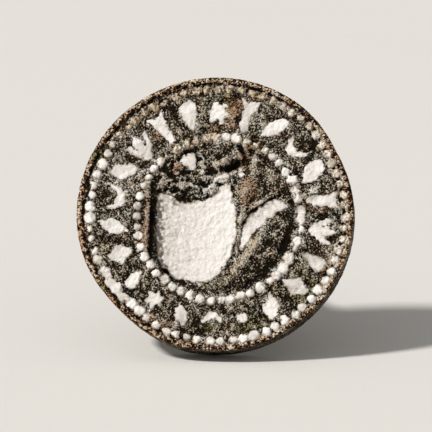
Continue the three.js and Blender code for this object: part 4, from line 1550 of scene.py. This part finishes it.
def makeLoop():
    # a rounded ring about its hole, and a shank that flattens and widens into it
    shape = loopShape
    around, section = shape["around"], shape["section"]
    turn, roll = fullTurn(around)[:, None], fullTurn(section)
    sideways, back = np.sin(turn), np.cos(turn)
    halfWidth = (shape["radius"] - shape["hole"]) / 2
    middle = (shape["radius"] + shape["hole"]) / 2
    power = 2 / shape["squareness"]
    out = np.sign(np.cos(roll)) * np.abs(np.cos(roll)) ** power * halfWidth
    aside = np.sign(np.sin(roll)) * np.abs(np.sin(roll)) ** power * shape["halfThickness"]
    reach = middle + out + 0 * turn
    wornAt, counts = shape["wornEnd"]
    end = -wornAt / np.minimum(back, counts)
    reach = np.where(back < counts, np.minimum(reach, end), reach)
    y = (aside + 0 * reach).ravel()
    ring = np.stack([(reach * sideways).ravel(), y, (shape["middle"] + reach * back).ravel()], axis=1)
    beyond = reach - middle
    inwards = -np.stack([(beyond * sideways).ravel(), y, (beyond * back).ravel()], axis=1)
    rubbed = ramp(np.abs(out + 0 * reach), shape["rubbedFrom"] * halfWidth, halfWidth).ravel()

    rows = shape["shankRows"]
    share = np.linspace(0, 1, rows)[:, None]
    flatten = ramp(share, *shape["flattens"])
    wide = shape["shankRadius"] + shape["widens"] * flatten**2
    thin = shape["halfThickness"] - shape["thinner"]
    thick = shape["shankRadius"] + (thin - shape["shankRadius"]) * flatten
    x = wide * np.cos(roll)
    z = shape["shankTop"] - shape["shankLength"] * share + 0 * x
    shank = np.stack([x.ravel(), (thick * np.sin(roll)).ravel(), z.ravel()], axis=1)
    ends = [0, 0, shape["shankTop"]], [0, 0, z[-1, 0]]
    shank, caps = capEnds(shank, rows, section, *ends)

    base = np.concatenate([ring, shank])
    inwards = np.concatenate([inwards, shank * [-1, -1, 0]])
    inwards /= np.maximum(np.linalg.norm(inwards, axis=1, keepdims=True), 1e-6)
    dent, owner = handleDents(base, shape, 41)
    points = base + inwards * dent[:, None]
    level, arris, own = shape["wear"]
    wear = level + arris * np.append(rubbed, np.zeros(len(shank))) + own * owner
    most, length = shape["topMoss"]
    crook = np.exp(-((base[:, 2] - shape["shankTop"]) / length) ** 2)
    values = {"wear": wear, "moss": most * crook * mossNoise(base, shape, 43)}
    shankQuads = ringQuads(rows, section, False)[:, ::-1] + len(ring)
    quads = np.concatenate([ringQuads(around, section, True), shankQuads])
    caps = caps + len(ring)
    makePiece("loop", points, quads, caps, handleMetal, "suspension_loop", values)


makeStem()
makeCollar()
makeLoop()
print("handle made")

# Floor, light and camera

studio = {
    "floorSize": 3.0,
    "floorColours": (srgb(226, 223, 218), srgb(200, 197, 192)),
    "floorNoise": (9.0, 0.3, 0.7, 0.05),  # scale, range and how much of the second colour shows
    "floorRoughness": 0.9,
    "worldColour": (1.0, 0.99, 0.975, 1.0),
    "worldStrength": 0.34,
    "keyColour": (1.0, 0.98, 0.95),
    "keyPower": 3.1,
    "keyAngle": 8,
    "keyFrom": (-0.62, 0.55, 0.58),  # in the face frame: from the upper left
}
view = {
    "azimuth": 5.2,
    "elevation": 12.1,
    "lens": 200.0,
    "frameWidth": 33.75,  # millimetres across the picture at the face
    "aim": (0.13, -0.26),  # face point at the picture's middle
    "clip": (0.005, 10),
}


def makeFloor():
    # one pale square, a little mottled
    half = studio["floorSize"] / 2
    corners = [(-half, -half, 0), (half, -half, 0), (half, half, 0), (-half, half, 0)]
    mesh = bpy.data.meshes.new("floor")
    mesh.from_pydata(corners, [], [(0, 1, 2, 3)])
    material, tree, shader = startMaterial("paleFloor")
    shader.inputs["Roughness"].default_value = studio["floorRoughness"]
    place = addNode(tree, "ShaderNodeTexCoord").outputs["Object"]
    scale, low, high, most = studio["floorNoise"]
    noise = addNode(tree, "ShaderNodeTexNoise", {"Vector": place, "Scale": scale, "Detail": 2.0})
    share = remap(tree, noise.outputs[0], low, high, 0.0, most)
    colour = mixColour(tree, share, *studio["floorColours"])
    tree.links.new(colour, shader.inputs["Base Color"])
    mesh.materials.append(material)
    floor = bpy.data.objects.new("floor", mesh)
    bpy.context.scene.collection.objects.link(floor)


def makeLights():
    # an even pale world and one soft lamp
    world = bpy.data.worlds.new("studio")
    world.use_nodes = True
    background = world.node_tree.nodes["Background"]
    background.inputs["Color"].default_value = studio["worldColour"]
    background.inputs["Strength"].default_value = studio["worldStrength"]
    bpy.context.scene.world = world
    key = bpy.data.lights.new("key", "SUN")
    key.energy = studio["keyPower"]
    key.angle = math.radians(studio["keyAngle"])
    key.color = studio["keyColour"]
    keyObject = bpy.data.objects.new("key", key)
    keyObject.rotation_mode = "QUATERNION"
    keyObject.rotation_quaternion = Vector(studio["keyFrom"] @ faceAxes).to_track_quat("Z", "Y")
    bpy.context.scene.collection.objects.link(keyObject)


def makeCamera():
    # a long lens that looks at the aim from the azimuth and the elevation
    azimuth, elevation = math.radians(view["azimuth"]), math.radians(view["elevation"])
    flat = math.cos(elevation)
    backwards = Vector((math.sin(azimuth) * flat, -math.cos(azimuth) * flat, math.sin(elevation)))
    camera = bpy.data.cameras.new("camera")
    camera.lens = view["lens"]
    distance = view["frameWidth"] / 1000 * view["lens"] / camera.sensor_width
    camera.clip_start, camera.clip_end = view["clip"]
    cameraObject = bpy.data.objects.new("camera", camera)
    target = Vector(toRow(np.array([[*view["aim"], 0.0]]))[0])
    cameraObject.location = target + backwards * distance
    cameraObject.rotation_mode = "QUATERNION"
    cameraObject.rotation_quaternion = (-backwards).to_track_quat("-Z", "Y")
    bpy.context.scene.collection.objects.link(cameraObject)
    bpy.context.scene.camera = cameraObject


makeFloor()
makeLights()
makeCamera()
bpy.context.scene.view_settings.view_transform = "Standard"
print("studio made")
